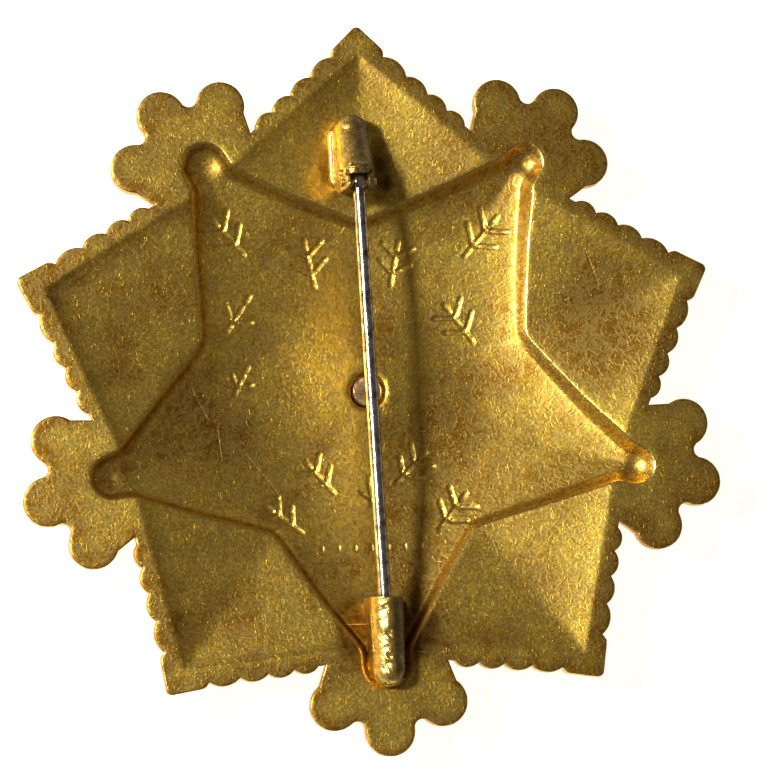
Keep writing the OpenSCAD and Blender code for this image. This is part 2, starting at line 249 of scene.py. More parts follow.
@dataclass
class PlateOutline:
    """Works out the badge's outline as the union of simple plane shapes."""

    sizes: BadgeSizes
    end_step: float = 0.06
    scallop_step: float = 0.07
    least_gap: float = 0.02

    @staticmethod
    def _tangent_quad(a: np.ndarray, ra: float, b: np.ndarray, rb: float) -> np.ndarray:
        """Returns the polygon between the outer tangents of two circles."""
        way = (b - a) / np.linalg.norm(b - a)
        turn = math.asin((ra - rb) / np.linalg.norm(b - a))
        left = np.array([-way[1], way[0]])
        side = left * math.cos(turn) + way * math.sin(turn)
        other = -left * math.cos(turn) + way * math.sin(turn)
        return np.array([a + ra * side, b + rb * side, b, b + rb * other, a + ra * other, a])

    def _arm(self) -> list[np.ndarray]:
        """Returns the polygons of one arm's end and scallops, for the arm along +Y."""
        s = self.sizes
        end = np.array([0, s.arm_r - s.arm_end_r])
        shoulder = np.array([s.shoulder_half_w - s.shoulder_r, s.shoulder_y])
        root = np.array([shoulder[0], s.shoulder_y - s.arm_end_root])
        wide = np.array([s.shoulder_half_w, s.shoulder_y])
        foot = s.hollow(0)
        shapes = [
            arc(end, s.arm_end_r, self.end_step),
            arc(shoulder, s.shoulder_r, self.end_step),
            arc(shoulder * FLIP, s.shoulder_r, self.end_step),
            self._tangent_quad(end, s.arm_end_r, shoulder, s.shoulder_r),
            self._tangent_quad(end, s.arm_end_r, shoulder * FLIP, s.shoulder_r),
            np.array([end, shoulder, wide, foot, root] + [p * FLIP for p in (root, foot, wide, shoulder)]),
        ]
        for index in range(RAYS_A_SIDE):
            a, b = s.hollow(index), s.hollow(index + 1)
            half = np.linalg.norm(b - a) / 2
            radius = (half**2 + s.scallop_rise**2) / (2 * s.scallop_rise)
            centre = (a + b) / 2 - (radius - s.scallop_rise) * s.edge_normal
            shapes += [arc(at, radius, self.scallop_step) for at in (centre, centre * FLIP)]
        return shapes

    def _flower(self) -> tuple[list[np.ndarray], np.ndarray, list[np.ndarray]]:
        """Returns a flower's lobes, its root polygon and the hollows cut from it, for a flower along +Y."""
        s = self.sizes
        mid, side, other = s.lobes()
        nest = s.nest()
        right = [
            np.array([s.neck_half_w, s.flower_root_y]),
            np.array([s.neck_half_w, s.neck_y]),
            np.array(s.lobe_foot),
            side,
            nest,
            mid,
        ]
        root = np.array(right + [p * FLIP for p in right[-2::-1]])
        lobes = [arc(centre, s.lobe_r) for centre in (mid, side, other)]
        return lobes, root, [arc(at, s.hollow_r, self.scallop_step) for at in (nest, nest * FLIP)]

    def _field(self) -> np.ndarray:
        """Returns the plain polygon inside the scallops."""
        s = self.sizes
        reach = np.linalg.norm(s.hollow(0))
        flower_r = s.scallop_line_d / math.sin(s.edge_angle + HALF_TURN)
        points = [polar(reach, side * s.first_hollow - i * ARM_TURN) for i in range(ARMS) for side in (-1, 1)]
        points += [polar(flower_r, HALF_TURN + i * ARM_TURN) for i in range(ARMS)]
        return np.array(sorted(points, key=lambda p: math.atan2(p[1], p[0])))

    @staticmethod
    def _covered(points: np.ndarray, shapes: list[np.ndarray]) -> np.ndarray:
        """Says which points lie inside at least one of the shapes."""
        return np.any([inside_polygon(points, shape) for shape in shapes], axis=0)

    def loop(self) -> np.ndarray:
        """Returns the whole outline as one closed counter-clockwise loop."""
        solid: list[np.ndarray] = [self._field()]
        roots: list[np.ndarray] = []
        cuts: list[np.ndarray] = []
        lobes, root, hollows = self._flower()
        for index in range(ARMS):
            turn = index * ARM_TURN
            solid += [turned(shape, turn) for shape in self._arm()]
            solid += [turned(shape, turn + HALF_TURN) for shape in lobes]
            roots.append(turned(root, turn + HALF_TURN))
            cuts += [turned(shape, turn + HALF_TURN) for shape in hollows]
        points: list[np.ndarray] = []
        edges: list[tuple[int, int]] = []
        for shape in solid + roots + cuts:
            first = len(points)
            points += list(shape)
            edges += [(first + i, first + (i + 1) % len(shape)) for i in range(len(shape))]
        verts, _, tris = delaunay_2d_cdt([Vector(p) for p in points], edges, [], 0, 1e-5)[:3]
        plane = np.array([v[:] for v in verts])
        faces = np.array([t[:3] for t in tris])
        middles = plane[faces].mean(axis=1)
        kept = self._covered(middles, roots) & ~self._covered(middles, cuts) | self._covered(middles, solid)
        return self._longest_loop(plane, faces[kept])

    def _longest_loop(self, plane: np.ndarray, faces: np.ndarray) -> np.ndarray:
        """Chains the edges that only one triangle uses and returns the longest loop."""
        used: dict[tuple[int, int], int] = {}
        for a, b, c in faces:
            for pair in ((a, b), (b, c), (c, a)):
                used[pair] = used.get(pair, 0) + 1
        after = {a: b for (a, b) in used if (b, a) not in used}
        best: list[int] = []
        while after:
            start = next(iter(after))
            chain = [start]
            here = after.pop(start)
            while here != start and here in after:
                chain.append(here)
                here = after.pop(here)
            if len(chain) > len(best):
                best = chain
        loop = plane[best]
        area = np.sum(loop[:, 0] * np.roll(loop[:, 1], -1) - loop[:, 1] * np.roll(loop[:, 0], -1))
        if area < 0:
            loop = loop[::-1]
        gap = np.linalg.norm(loop - np.roll(loop, 1, axis=0), axis=1)
        return loop[gap > self.least_gap]


def inset(loop: np.ndarray, distance: float) -> np.ndarray:
    """Moves a counter-clockwise loop's points inwards along their normals."""
    before = loop - np.roll(loop, 1, axis=0)
    after = np.roll(loop, -1, axis=0) - loop
    before /= np.linalg.norm(before, axis=1)[:, None]
    after /= np.linalg.norm(after, axis=1)[:, None]
    way = before + after
    way /= np.linalg.norm(way, axis=1)[:, None]
    normal = np.column_stack([-way[:, 1], way[:, 0]])
    spread = np.clip((normal * np.column_stack([-before[:, 1], before[:, 0]])).sum(axis=1), 0.5, 1)
    return loop + normal * (distance / spread)[:, None]


def fold(points: np.ndarray, first: float) -> np.ndarray:
    """Turns every point into the sector round the axis at angle `first` and mirrors it to that axis's right.

    Args:
        points: plane points.
        first: clockwise angle from +Y of one of the five axes.

    Returns:
        The points in a frame whose +Y runs along their own axis, with x at least 0.
    """
    radius = radius_of(points)
    angle = np.arctan2(points[:, 0], points[:, 1]) - first
    angle = np.abs((angle + HALF_TURN) % ARM_TURN - HALF_TURN)
    return np.column_stack([radius * np.sin(angle), radius * np.cos(angle)])


@dataclass(frozen=True)
class Stroke:
    """One punched or scribed groove in the back, from a to b."""

    a: tuple[float, float]
    b: tuple[float, float]
    half_w: float = 0.19
    depth: float = 0.15


@dataclass(frozen=True)
class Bulb:
    """The round dish that ends one point of the star: its radius and how far it lies off its place."""

    radius: float
    right: float = 0.0
    up: float = 0.0


class MarkKind(Enum):
    """The ornaments of the star's floor; the value is the number of their pairs of side strokes."""

    SPRIG = 2
    TWIG = 1


@dataclass(frozen=True)
class Mark:
    """Places one ornament: its distance from the middle, its clockwise angle, its turn and its length.

    The shares are of its half length: where the stem breaks off and starts again, where the first pair of
    side strokes starts, how far apart the pairs are, and how far a side stroke reaches and rises.
    """

    radius: float
    angle: float
    turn: float
    length: float
    kind: MarkKind = MarkKind.SPRIG
    half_share: float = 0.64
    break_share: float = 0.35
    again_share: float = 0.62
    pair_share: float = -0.45
    pitch_share: float = 0.75
    reach_share: float = 0.72
    rise_share: float = 0.5
    side_start: tuple[float, float] = (0.2, 0.1)

    def strokes(self) -> list[Stroke]:
        """Returns the grooves that draw the ornament: its stem in two parts and its side strokes."""
        half = self.length * self.half_share
        out, up = self.side_start
        lines = [((0.0, -half), (0.0, half * self.break_share))]
        for index in range(self.kind.value):
            root = half * self.pair_share + index * half * self.pitch_share
            end = (half * self.reach_share, root + half * self.rise_share)
            lines += [((side * out, root + up), (side * end[0], end[1])) for side in (-1, 1)]
        lines.append(((0.0, half * self.again_share), (0.0, half)))
        centre = polar(self.radius, math.radians(self.angle))
        placed = [turned(np.array(line), math.radians(self.turn)) + centre for line in lines]
        return [Stroke(tuple(a), tuple(b)) for a, b in placed]


def punched_strokes() -> list[Stroke]:
    """Returns every groove of the back: a scattered wreath, a row of dots, scribed lines and scratches."""
    twig = MarkKind.TWIG
    marks = [
        Mark(14.3, -41.0, 42, 2.6), Mark(10.4, -58.0, -35, 2.4, twig), Mark(8.8, -84.0, -28, 1.7, twig),
        Mark(9.7, -22.5, 12, 2.6), Mark(9.2, 14.5, -12, 2.4), Mark(13.5, 38.5, -42, 2.8),
        Mark(8.1, 55.5, 36, 2.6), Mark(6.9, -148.5, 40, 2.3), Mark(10.8, -144.5, 52, 2.4),
        Mark(6.1, 153.0, -46, 2.4), Mark(10.2, 147.5, -40, 2.5), Mark(7.0, -179.0, 4, 1.5, twig),
    ]
    strokes = [stroke for mark in marks for stroke in mark.strokes()]
    row_x, row_y, row_pitch, row_count, dot_half = -0.3, -10.9, 1.15, 7, 0.14
    for index in range(row_count):
        x = (index - (row_count - 1) / 2) * row_pitch + row_x
        strokes.append(Stroke((x, row_y - dot_half), (x, row_y + dot_half), 0.11, 0.08))
    scribed = (((-5.03, -11.75), (4.3, -12.08)), ((-2.69, -16.12), (-1.04, -16.18)),
               ((2.1, -18.2), (3.84, -18.29)))
    scratched = (((-10.6, -2.2), (-10.4, -4.6)), ((-8.7, -4.2), (-6.6, -6.9)), ((-12.4, 0.6), (-11.2, -1.8)),
                 ((15.6, 8.8), (16.3, 6.8)), ((-6.9, 9.1), (-4.9, 7.2)), ((4.2, -4.9), (6.6, -5.6)))
    for lines, half_w, depth in ((scribed, 0.055, 0.04), (scratched, 0.045, 0.02)):
        strokes += [Stroke(a, b, half_w, depth) for a, b in lines]
    return strokes


@dataclass
class BackRelief:
    """The height field of the plate's back, above the floor that the badge lies on.

    The star was struck by a die that sat a little off the middle (`die_shift`), except near the rim, beyond
    `hold_r`. Its wall is narrower at the lower left, and its fillet is wider and weaker on the right.
    """

    sizes: BadgeSizes
    panel_drop: float = 0.2
    panel_fall: float = 0.5
    right_fall: float = 3.6
    fall_from: tuple[float, float] = (-2, 10)
    crease_ease: float = 0.06
    valley_w: float = 0.03
    valley_spread: float = 0.13
    valley_reach: float = 7
    corner_ease: float = 0.35
    corner_spread: float = 0.5
    corner_pull: float = 0.15
    crease_pull: float = 0.35
    edge_ease: float = 0.075
    foot_ease: float = 0.08
    bowl_rise: float = 0.0039
    facet_slope: float = -0.03
    facet_ease: float = 1.5
    die_shift: tuple[float, float] = (-0.2, -0.165)
    hold_r: float = 18.4
    hold_w: float = 4
    burr: float = 0.012
    burr_at: float = 1.25
    burr_w: float = 0.3
    burr_stroke_w: float = 0.15
    groove_steepness: float = 1.6
    groove_reach: float = 1.3
    bulbs: tuple[Bulb, ...] = (
        Bulb(1.6, 0.2, 0.15), Bulb(1.45, 0.0, 0.12), Bulb(1.65), Bulb(1.3, 0.05, -0.15), Bulb(1.3, 0.28, 0.1))
    bulb_depth: float = 0.06
    bulb_wall: float = 0.18
    bulb_join: float = 0.7
    wall_narrowing: float = 0.24
    narrow_way: tuple[float, float] = (-0.5, -0.85)
    narrow_reach: float = 12
    fillet_rise: float = 0.41
    fillet_reach: float = 1.9
    fillet_spread: float = 0.25
    fillet_sink: float = 0.35
    fillet_from: tuple[float, float] = (-1, 9)
    ring_depth: float = 0.36
    ring_r: float = 6.6
    hole_dip: float = 0.14
    hole_dip_reach: float = 0.1
    lip_polish: float = 0.9
    lip_w: float = 0.075
    foot_highlight: float = 0.15
    foot_w: float = 0.13
    strokes: list[Stroke] = field(default_factory=punched_strokes)

    def star_distance(self, points: np.ndarray, ease: float | np.ndarray = corner_ease) -> np.ndarray:
        """Returns how far inside the star's edge each point lies, its inner corners rounded by the ease."""
        s = self.sizes
        hold = eased(unit((self.hold_r - radius_of(points)) / self.hold_w))
        struck = points - np.array(self.die_shift) * hold[:, None]
        folded = fold(struck, 0.0)
        across = np.sqrt(folded[:, 0] ** 2 + ease**2) - ease * self.corner_pull
        edge = s.star_edge_d - across * s.star_normal[0] - folded[:, 1] * s.star_normal[1]
        edge = np.minimum(edge, s.tip_end_r - fold(struck, HALF_TURN)[:, 1])
        dish = self.bulb_distance(points)
        close = np.maximum(self.bulb_join - np.abs(edge - dish), 0)
        return np.maximum(edge, dish) + close**2 / (4 * self.bulb_join)

    def bulb_distance(self, points: np.ndarray) -> np.ndarray:
        """Returns how far inside the nearest dish's edge each point lies."""
        inside = []
        for index, bulb in enumerate(self.bulbs):
            centre = turned(np.array([0, self.sizes.dimple_dist]), HALF_TURN + index * ARM_TURN)
            inside.append(bulb.radius - np.linalg.norm(points - centre - [bulb.right, bulb.up], axis=1))
        return np.max(inside, axis=0)

    def crease_distance(self, points: np.ndarray) -> np.ndarray:
        """Returns how far inside the crease of its arm's panel each point lies, its valley rounded."""
        s = self.sizes
        folded = fold(points, 0.0)
        apex = s.crease_d / math.sin(s.edge_angle)
        width = self.valley_w + self.valley_spread * np.clip(apex - folded[:, 1], 0, self.valley_reach)
        across = np.sqrt(folded[:, 0] ** 2 + width**2) - width * self.crease_pull
        return s.crease_d - across * s.edge_normal[0] - folded[:, 1] * s.edge_normal[1]

    def wall_at(self, points: np.ndarray) -> np.ndarray:
        """Returns the star wall's width near each point, which is less at the lower left."""
        right, up = self.narrow_way
        low_left = unit((right * points[:, 0] + up * points[:, 1]) / self.narrow_reach)
        return self.sizes.star_wall_w - self.wall_narrowing * low_left

    def star_share(self, points: np.ndarray) -> np.ndarray:
        """Returns 0 outside the pressed star, 1 on its floor and the share of the wall's drop between."""
        first = self.star_distance(points)
        spread = self.corner_spread * np.clip(first / self.sizes.star_wall_w, 0, 1.5)
        d = self.star_distance(points, self.corner_ease + spread)
        soft = unit(self.bulb_distance(points) / 0.8 + 0.4)
        wall = self.wall_at(points) - self.bulb_wall * soft
        return unit((soft_ramp(d, self.edge_ease) - soft_ramp(d - wall, self.foot_ease + 0.1 * soft)) / wall)

    def edge_lines(self, points: np.ndarray) -> np.ndarray:
        """Returns how far each point is laid in the polish colour: wear along the wall's lip, and a painted
        highlight along its foot.
        """
        d = self.star_distance(points)
        foot = d - self.wall_at(points) - 0.1
        lip = self.lip_polish * swell(d - 0.01, self.lip_w)
        return np.maximum(lip, self.foot_highlight * swell(foot, self.foot_w))

    def panel(self, points: np.ndarray) -> np.ndarray:
        """Returns the height of the arms' sunk panels over the rim, whose step is softer on the right."""
        s = self.sizes
        d = soft_ramp(self.crease_distance(points), self.crease_ease)
        reach = s.crease_d - s.star_inner_r * s.edge_normal[1]
        slope = (s.valley_depth - self.panel_drop) / reach
        fall = self.panel_fall * (1 + self.right_fall * rightward(points, *self.fall_from))
        return -self.panel_drop * (1 - np.exp(-d / fall)) - slope * d

    def floor(self, points: np.ndarray) -> np.ndarray:
        """Returns the height of the star's floor over the rim, deepest in a ring round the middle."""
        s = self.sizes
        tip = fold(points, HALF_TURN)
        away = np.sqrt(tip[:, 0] ** 2 + self.facet_ease**2) - self.facet_ease
        bowl = s.middle_depth - self.bowl_rise * tip[:, 1] ** 2 - self.facet_slope * away
        ring = (points**2).sum(axis=1) / self.ring_r**2
        bowl = bowl + self.ring_depth * ring * np.exp(1 - ring)
        inside = np.maximum(self.star_distance(points) - s.star_wall_w, 0)
        right = rightward(points, *self.fillet_from)
        curve = np.exp(-inside / self.fillet_reach / (1 + self.fillet_spread * right))
        fillet = self.fillet_rise * (curve - self.fillet_sink * right * (1 - curve))
        dish = unit(self.bulb_distance(points) / s.dimple_r)
        return -(bowl - fillet + self.bulb_depth * eased(dish))

    def groove(self, points: np.ndarray) -> tuple[np.ndarray, np.ndarray]:
        """Returns the height that the strokes add, and how much each point belongs to one."""
        deep = np.zeros(len(points))
        share = np.zeros(len(points))
        for stroke in self.strokes:
            a, b = np.array(stroke.a), np.array(stroke.b)
            near = np.all((points > np.minimum(a, b) - 0.5) & (points < np.maximum(a, b) + 0.5), axis=1)
            rel = points[near] - a
            way = b - a
            t = unit(rel @ way / (way @ way))
            away = np.linalg.norm(rel - t[:, None] * way, axis=1) / stroke.half_w
            cut = -stroke.depth * unit(self.groove_steepness * (1 - away**2))
            lift = self.burr * swell(away - self.burr_at, self.burr_w) * (stroke.half_w / self.burr_stroke_w)
            share[near] = np.maximum(share[near], unit(self.groove_reach - away))
            lower = np.minimum(deep[near], cut)
            deep[near] = np.where(lower < 0, lower, np.maximum(lower, lift))
        return deep, share

    def __call__(self, points: np.ndarray) -> np.ndarray:
        """Returns the back's height at each point."""
        s = self.sizes
        share = self.star_share(points)
        height = self.panel(points) * (1 - share) + self.floor(points) * share
        beside_hole = np.maximum(radius_of(points) - s.hole_r, 0)
        height -= self.hole_dip * np.exp(-beside_hole / self.hole_dip_reach)
        return s.rim_back_z + height + self.groove(points)[0]


@dataclass
class FrontRelief:
    """The height field of the plate's front, under its rays and lobes."""

    sizes: BadgeSizes
    back: BackRelief
    wall_offset: float = 0.47
    knob_r: float = 1.55
    knob_depth: float = 1.35
    middle_rise: float = 0.008

    def __call__(self, points: np.ndarray) -> np.ndarray:
        """Returns the front's height at each point."""
        s, back = self.sizes, self.back
        tip = fold(points, HALF_TURN)
        height = s.rim_front_z + back.panel(points)
        out = np.minimum(back.star_distance(points), s.tip_end_r - tip[:, 1]) + self.wall_offset
        share = unit(out / s.star_wall_w)
        depth = s.middle_depth - back.bowl_rise * tip[:, 1] ** 2 - back.facet_slope * tip[:, 0]
        depth = np.minimum(depth, s.middle_depth - self.middle_rise * radius_of(points))
        height = height * (1 - share) + np.minimum(s.rim_front_z - depth, height) * share
        reach = np.hypot(tip[:, 0], tip[:, 1] - s.dimple_dist)
        drop = np.sqrt(np.maximum(self.knob_r**2 - reach**2, 0))
        knob = np.where(reach < self.knob_r, s.rim_back_z - self.knob_depth - drop, np.inf)
        return np.minimum(height, knob)


@dataclass
class PlaneMesher:
    """Collects loops, lines and a grid and triangulates them."""

    points: list[np.ndarray] = field(default_factory=list)
    edges: list[tuple[int, int]] = field(default_factory=list)

    def add_line(self, line: np.ndarray, closed: bool = False) -> tuple[int, int]:
        """Adds a chain of points joined by edges.

        Args:
            line: the points, in order.
            closed: whether the last point is joined to the first.

        Returns:
            The index of the first point and the number of points.
        """
        first = len(self.points)
        self.points += list(line)
        count = len(line)
        self.edges += [(first + i, first + i + 1) for i in range(count - 1)]
        if closed:
            self.edges.append((first + count - 1, first))
        return first, count

    def add_grid(self, step: float, reach: float, clearance: float) -> None:
        """Adds a grid of equal triangles, but for its points that lie close to what is already there."""
        tree = plane_tree(self.points)
        rows = int(reach / (step * math.sqrt(0.75)))
        columns = int(reach / step)
        for row in range(-rows, rows + 1):
            y = row * step * math.sqrt(0.75)
            for column in range(-columns, columns + 1):
                x = (column + 0.5 * (row % 2)) * step
                if x * x + y * y > reach * reach:
                    continue
                if tree.find((x, y, 0))[2] > clearance:
                    self.points.append(np.array([x, y]))

    def triangulate(self) -> tuple[np.ndarray, np.ndarray, list[int]]:
        """Triangulates all that was added.

        Returns:
            The plane points, the triangles and, for each point added, its index among them.
        """
        result = delaunay_2d_cdt([Vector(p) for p in self.points], self.edges, [], 0, 1e-6)
        verts, _, tris, origins = result[:4]
        place = [-1] * len(self.points)
        for index, sources in enumerate(origins):
            for source in sources:
                place[source] = index
        return np.array([v[:] for v in verts]), np.array([t[:3] for t in tris]), place


def mesh_object(name: str, verts: np.ndarray, faces: list,
                attributes: dict[str, np.ndarray] | None = None) -> Piece:
    """Makes a smooth-shaded mesh object from points in millimetres.

    Args:
        name: the object's name.
        verts: points in millimetres.
        faces: lists of point indices, counter-clockwise seen from outside.
        attributes: float values for each point, by name.

    Returns:
        The linked object.
    """
    mesh = bpy.data.meshes.new(name)
    mesh.from_pydata((np.asarray(verts) * MM).tolist(), [], [list(map(int, f)) for f in faces])
    for key, values in (attributes or {}).items():
        layer = mesh.attributes.new(key, "FLOAT", "POINT")
        layer.data.foreach_set("value", np.asarray(values, dtype=np.float32))
    mesh.validate()
    mesh.update()
    mesh.shade_smooth()
    LOG.info("%s: %d points, %d faces", name, len(mesh.vertices), len(mesh.polygons))
    return linked(name, mesh)


def linked(name: str, data: bpy.types.ID) -> Piece:
    """Makes an object of its data and links it to the scene."""
    made = bpy.data.objects.new(name, data)
    bpy.context.scene.collection.objects.link(made)
    return made


def band(upper: list[int], lower: list[int]) -> list[list[int]]:
    """Returns the faces between two closed rings of equally many points, seen from outside."""
    count = len(upper)
    return [[upper[i], lower[i], lower[(i + 1) % count], upper[(i + 1) % count]] for i in range(count)]


@dataclass(frozen=True)
class Spot:
    """A soft oval patch: its middle, its half sizes and its strength."""

    x: float
    y: float
    across: float
    along: float
    share: float = 1.0

    def at(self, points: np.ndarray) -> np.ndarray:
        """Returns the patch's strength at each point."""
        x, y = (points[:, 0] - self.x) / self.across, (points[:, 1] - self.y) / self.along
        return self.share * np.exp(-(x**2) - y**2)


@dataclass
class StarPlate:
    """The struck plate: one closed mesh with its relief on both sides.

    The first spots darken the back with a burn mark of the solder beside the hinge, with painted shadow where
    the hinge box and the catch cast their shadows, with painted shade where light would glow off them, and
    with painted shade on some stretches of the floor and rim.
    One spot paints a reflected orange glow beside the pin. The other spots paint shade by mixing towards the
    tarnish colour and, with a negative strength, light by mixing towards the clean colour.
    The steps are the distances between mesh points.
    """

    sizes: BadgeSizes
    back_step: float = 0.21
    front_step: float = 0.27
    side_round: float = 0.1
    side_bevel: float = 0.3
    bore_step: float = 0.12
    line_step: float = 0.2
    dimple_line_r: float = 0.45
    dimple_line_step: float = 0.14
    loop_step: float = 0.18
    stroke_step: float = 0.25
    grid_clearance: float = 0.55
    # Painted shade: the star's walls on the left, which face away from the key light, are darkened.
    wall_painted_shade: float = 0.45
    wall_shade_from: tuple[float, float] = (-6, 8)
    edge_w: float = 0.12
    rim_dull_w: float = 0.7
    rim_dull_r: float = 17
    # Painted shadow: the first three spots lay the cast shadows of the hinge box and the catch; the first is
    # also the solder's burn mark. The next two paint shade where the fittings' lit sides would glow onto the
    # plate. The last ones paint shade on the floor and rim.
    burn_and_painted_shadow: tuple[Spot, ...] = (
        Spot(1.75, 14.35, 0.45, 0.8, 1.2), Spot(1.35, 15.2, 0.8, 2.1), Spot(2.2, -16.3, 1.5, 2.6, 1.7),
        Spot(-2.0, -16.7, 1.4, 2.4, 1.7), Spot(-2.5, 15.2, 0.8, 2.0, 0.95), Spot(-11.6, -3.2, 4.4, 3.2, 0.42),
        Spot(16.3, 3.9, 3.4, 3.2, 0.42), Spot(-22.8, 7.0, 1.6, 2.6, 0.3), Spot(-3.6, -12.2, 3.6, 3.0, 0.1))
    # Painted reflection: an orange glow on the floor left of the pin, the pin's reflection.
    painted_reflection: Spot = Spot(-2.8, 3.2, 2.4, 5.6)
    # Painted light and shade: positive spots darken stretches turned away from the light. Negative ones
    # lighten stretches turned towards it, the pin's reflection and the pin's shadow.
    dulling_and_painted_light: tuple[Spot, ...] = (
        Spot(16.2, 4.4, 3.8, 3.6, 1.1), Spot(12.7, 18.2, 3.2, 2.8, 0.55), Spot(-22.6, 7.2, 2.0, 3.0, 0.7),
        Spot(-11.6, -3.4, 3.6, 2.8, 0.5), Spot(-3.6, -12.0, 3.4, 2.4, 0.3), Spot(-8.2, -16.0, 2.6, 3.0, 0.35),
        Spot(-4.4, -0.8, 2.0, 2.4, 0.5), Spot(-12.2, 15.7, 1.7, 1.7, 0.65), Spot(-21.6, -6.2, 2.4, 3.4, 0.3),
        Spot(-4.3, 17.2, 2.4, 2.4, -0.9), Spot(-6.6, 12.8, 3.4, 2.4, -0.55), Spot(0.2, -22.2, 3.0, 2.0, -0.7),
        Spot(13.0, -3.0, 3.6, 2.6, -0.6), Spot(-2.2, 3.9, 1.7, 5.0, -0.8), Spot(-14.6, 19.6, 2.4, 2.0, -0.1),
        Spot(15.9, 10.8, 3.0, 2.2, -0.5), Spot(-8.9, 2.3, 2.6, 3.0, -0.4), Spot(5.5, 9.7, 2.6, 3.0, -0.4),
        Spot(3.2, 4.1, 1.2, 4.0, -0.6), Spot(21.2, -6.5, 2.4, 2.6, -0.3))

    def _features(self, mesher: PlaneMesher, back: BackRelief) -> None:
        """Adds the lines along which the back bends sharply."""
        s = self.sizes
        wall = s.star_wall_w
        for offset in (-0.1, -0.04, 0.0, 0.04, wall / 2, wall - 0.06, wall, wall + 0.06, wall + 0.14):
            mesher.add_line(self._settle(self._star_loop(offset), back, offset), closed=True)
        for offset in (-0.06, 0.0, 0.06):
            line_d = s.crease_d - offset
            apex = np.array([0, line_d / math.sin(s.edge_angle)])
            foot = self._crossing(line_d, s.star_edge_d + 0.15)
            for index in range(ARMS):
                right = split_line(apex, foot, self.line_step)
                left = split_line(apex * FLIP, foot * FLIP, self.line_step)[1:]
                for line in (right, left):
                    mesher.add_line(turned(line, index * ARM_TURN))
        for index in range(ARMS):
            centre = polar(s.dimple_dist, HALF_TURN + index * ARM_TURN)
            mesher.add_line(arc(centre, self.dimple_line_r, self.dimple_line_step), closed=True)
        for stroke in back.strokes:
            self._around(mesher, stroke)
        mesher.add_line(arc(np.zeros(2), s.hole_r + 0.1, self.bore_step), closed=True)

    def _star_loop(self, offset: float) -> np.ndarray:
        """Returns a rough loop that runs an offset inside the star's edge and round its dishes."""
        s = self.sizes
        scale = (s.star_edge_d - offset) / s.star_edge_d
        bulge = max(s.dimple_r - offset, 0.3)
        corners = []
        for index in range(ARMS):
            corners.append(polar(s.star_inner_r * scale, index * ARM_TURN))
            for angle in np.linspace(-1.9, 1.9, 15):
                around = np.array([0, s.dimple_dist]) + polar(bulge, angle)
                corners.append(turned(around, -HALF_TURN - index * ARM_TURN))
        sides = zip(corners, corners[1:] + corners[:1])
        return np.vstack([split_line(a, b, self.loop_step)[:-1] for a, b in sides])

    def _around(self, mesher: PlaneMesher, stroke: Stroke) -> None:
        """Adds a stroke's middle line and two loops round it."""
        a, b = np.array(stroke.a), np.array(stroke.b)
        way = (b - a) / np.linalg.norm(b - a)
        side = np.array([-way[1], way[0]])
        step = self.stroke_step
        mesher.add_line(split_line(a, b, step))
        for share in (1.0, 1.35):
            wide = side * stroke.half_w * share
            end = way * stroke.half_w * share
            slant, other = (wide + end) * math.sqrt(0.5), (end - wide) * math.sqrt(0.5)
            right, left = split_line(a - wide, b - wide, step), split_line(b + wide, a + wide, step)
            ends = [b + other, b + end, b + slant], [a - other, a - end, a - slant]
            mesher.add_line(np.vstack([right, ends[0], left, ends[1]]), closed=True)

    def _settle(self, loop: np.ndarray, back: BackRelief, offset: float) -> np.ndarray:
        """Moves points across the star's edge until they lie `offset` inside it."""
        small = 1e-3
        for _ in range(3):
            here = back.star_distance(loop)
            want = offset * back.wall_at(loop) / self.sizes.star_wall_w if offset > 0.1 else offset
            slope = np.column_stack([(back.star_distance(loop + way) - here) / small
                                     for way in ([small, 0], [0, small])])
            loop = loop + slope * ((want - here) / np.maximum((slope**2).sum(axis=1), 0.2))[:, None]
        return loop

    def _crossing(self, d1: float, d2: float) -> np.ndarray:
        """Returns where an arm's edge line at distance d1 meets a star's edge line at d2."""
        s = self.sizes
        return np.linalg.solve(np.array([s.edge_normal, s.star_normal]), np.array([d1, d2]))

    def build(self) -> Piece:
        """Builds the plate's closed mesh."""
        s = self.sizes
        back = BackRelief(s)
        outline = PlateOutline(s).loop()
        rim = inset(outline, self.side_round)
        hole = arc(np.zeros(2), s.hole_r, self.bore_step)
        top = self._sheet(rim, hole, back, self.back_step, True)
        low = self._sheet(rim, hole, FrontRelief(s, back), self.front_step, False)
        shift = len(top["verts"])
        faces = top["tris"].tolist() + (low["tris"][:, ::-1] + shift).tolist()
        bevel = self.side_round * self.side_bevel
        rings = [
            (inset(outline, bevel), s.rim_back_z - bevel),
            (outline, s.rim_back_z - self.side_round),
            (outline, s.rim_front_z + self.side_round),
            (inset(outline, bevel), s.rim_front_z + bevel),
        ]
        verts = [top["verts"], low["verts"]]
        chains = [top["rim"]]
        total = shift + len(low["verts"])
        for plane, z in rings:
            verts.append(np.column_stack([plane, np.full(len(outline), z)]))
            chains.append(list(range(total, total + len(outline))))
            total += len(outline)
        chains.append([i + shift for i in low["rim"]])
        for upper, lower in zip(chains, chains[1:]):
            faces += band(upper, lower)
        faces += [face[::-1] for face in band(top["hole"], [i + shift for i in low["hole"]])]
        points = np.vstack(verts)
        looks = self._looks(points, np.arange(len(points)) < shift, back, outline)
        return mesh_object("plate", points, faces, looks)

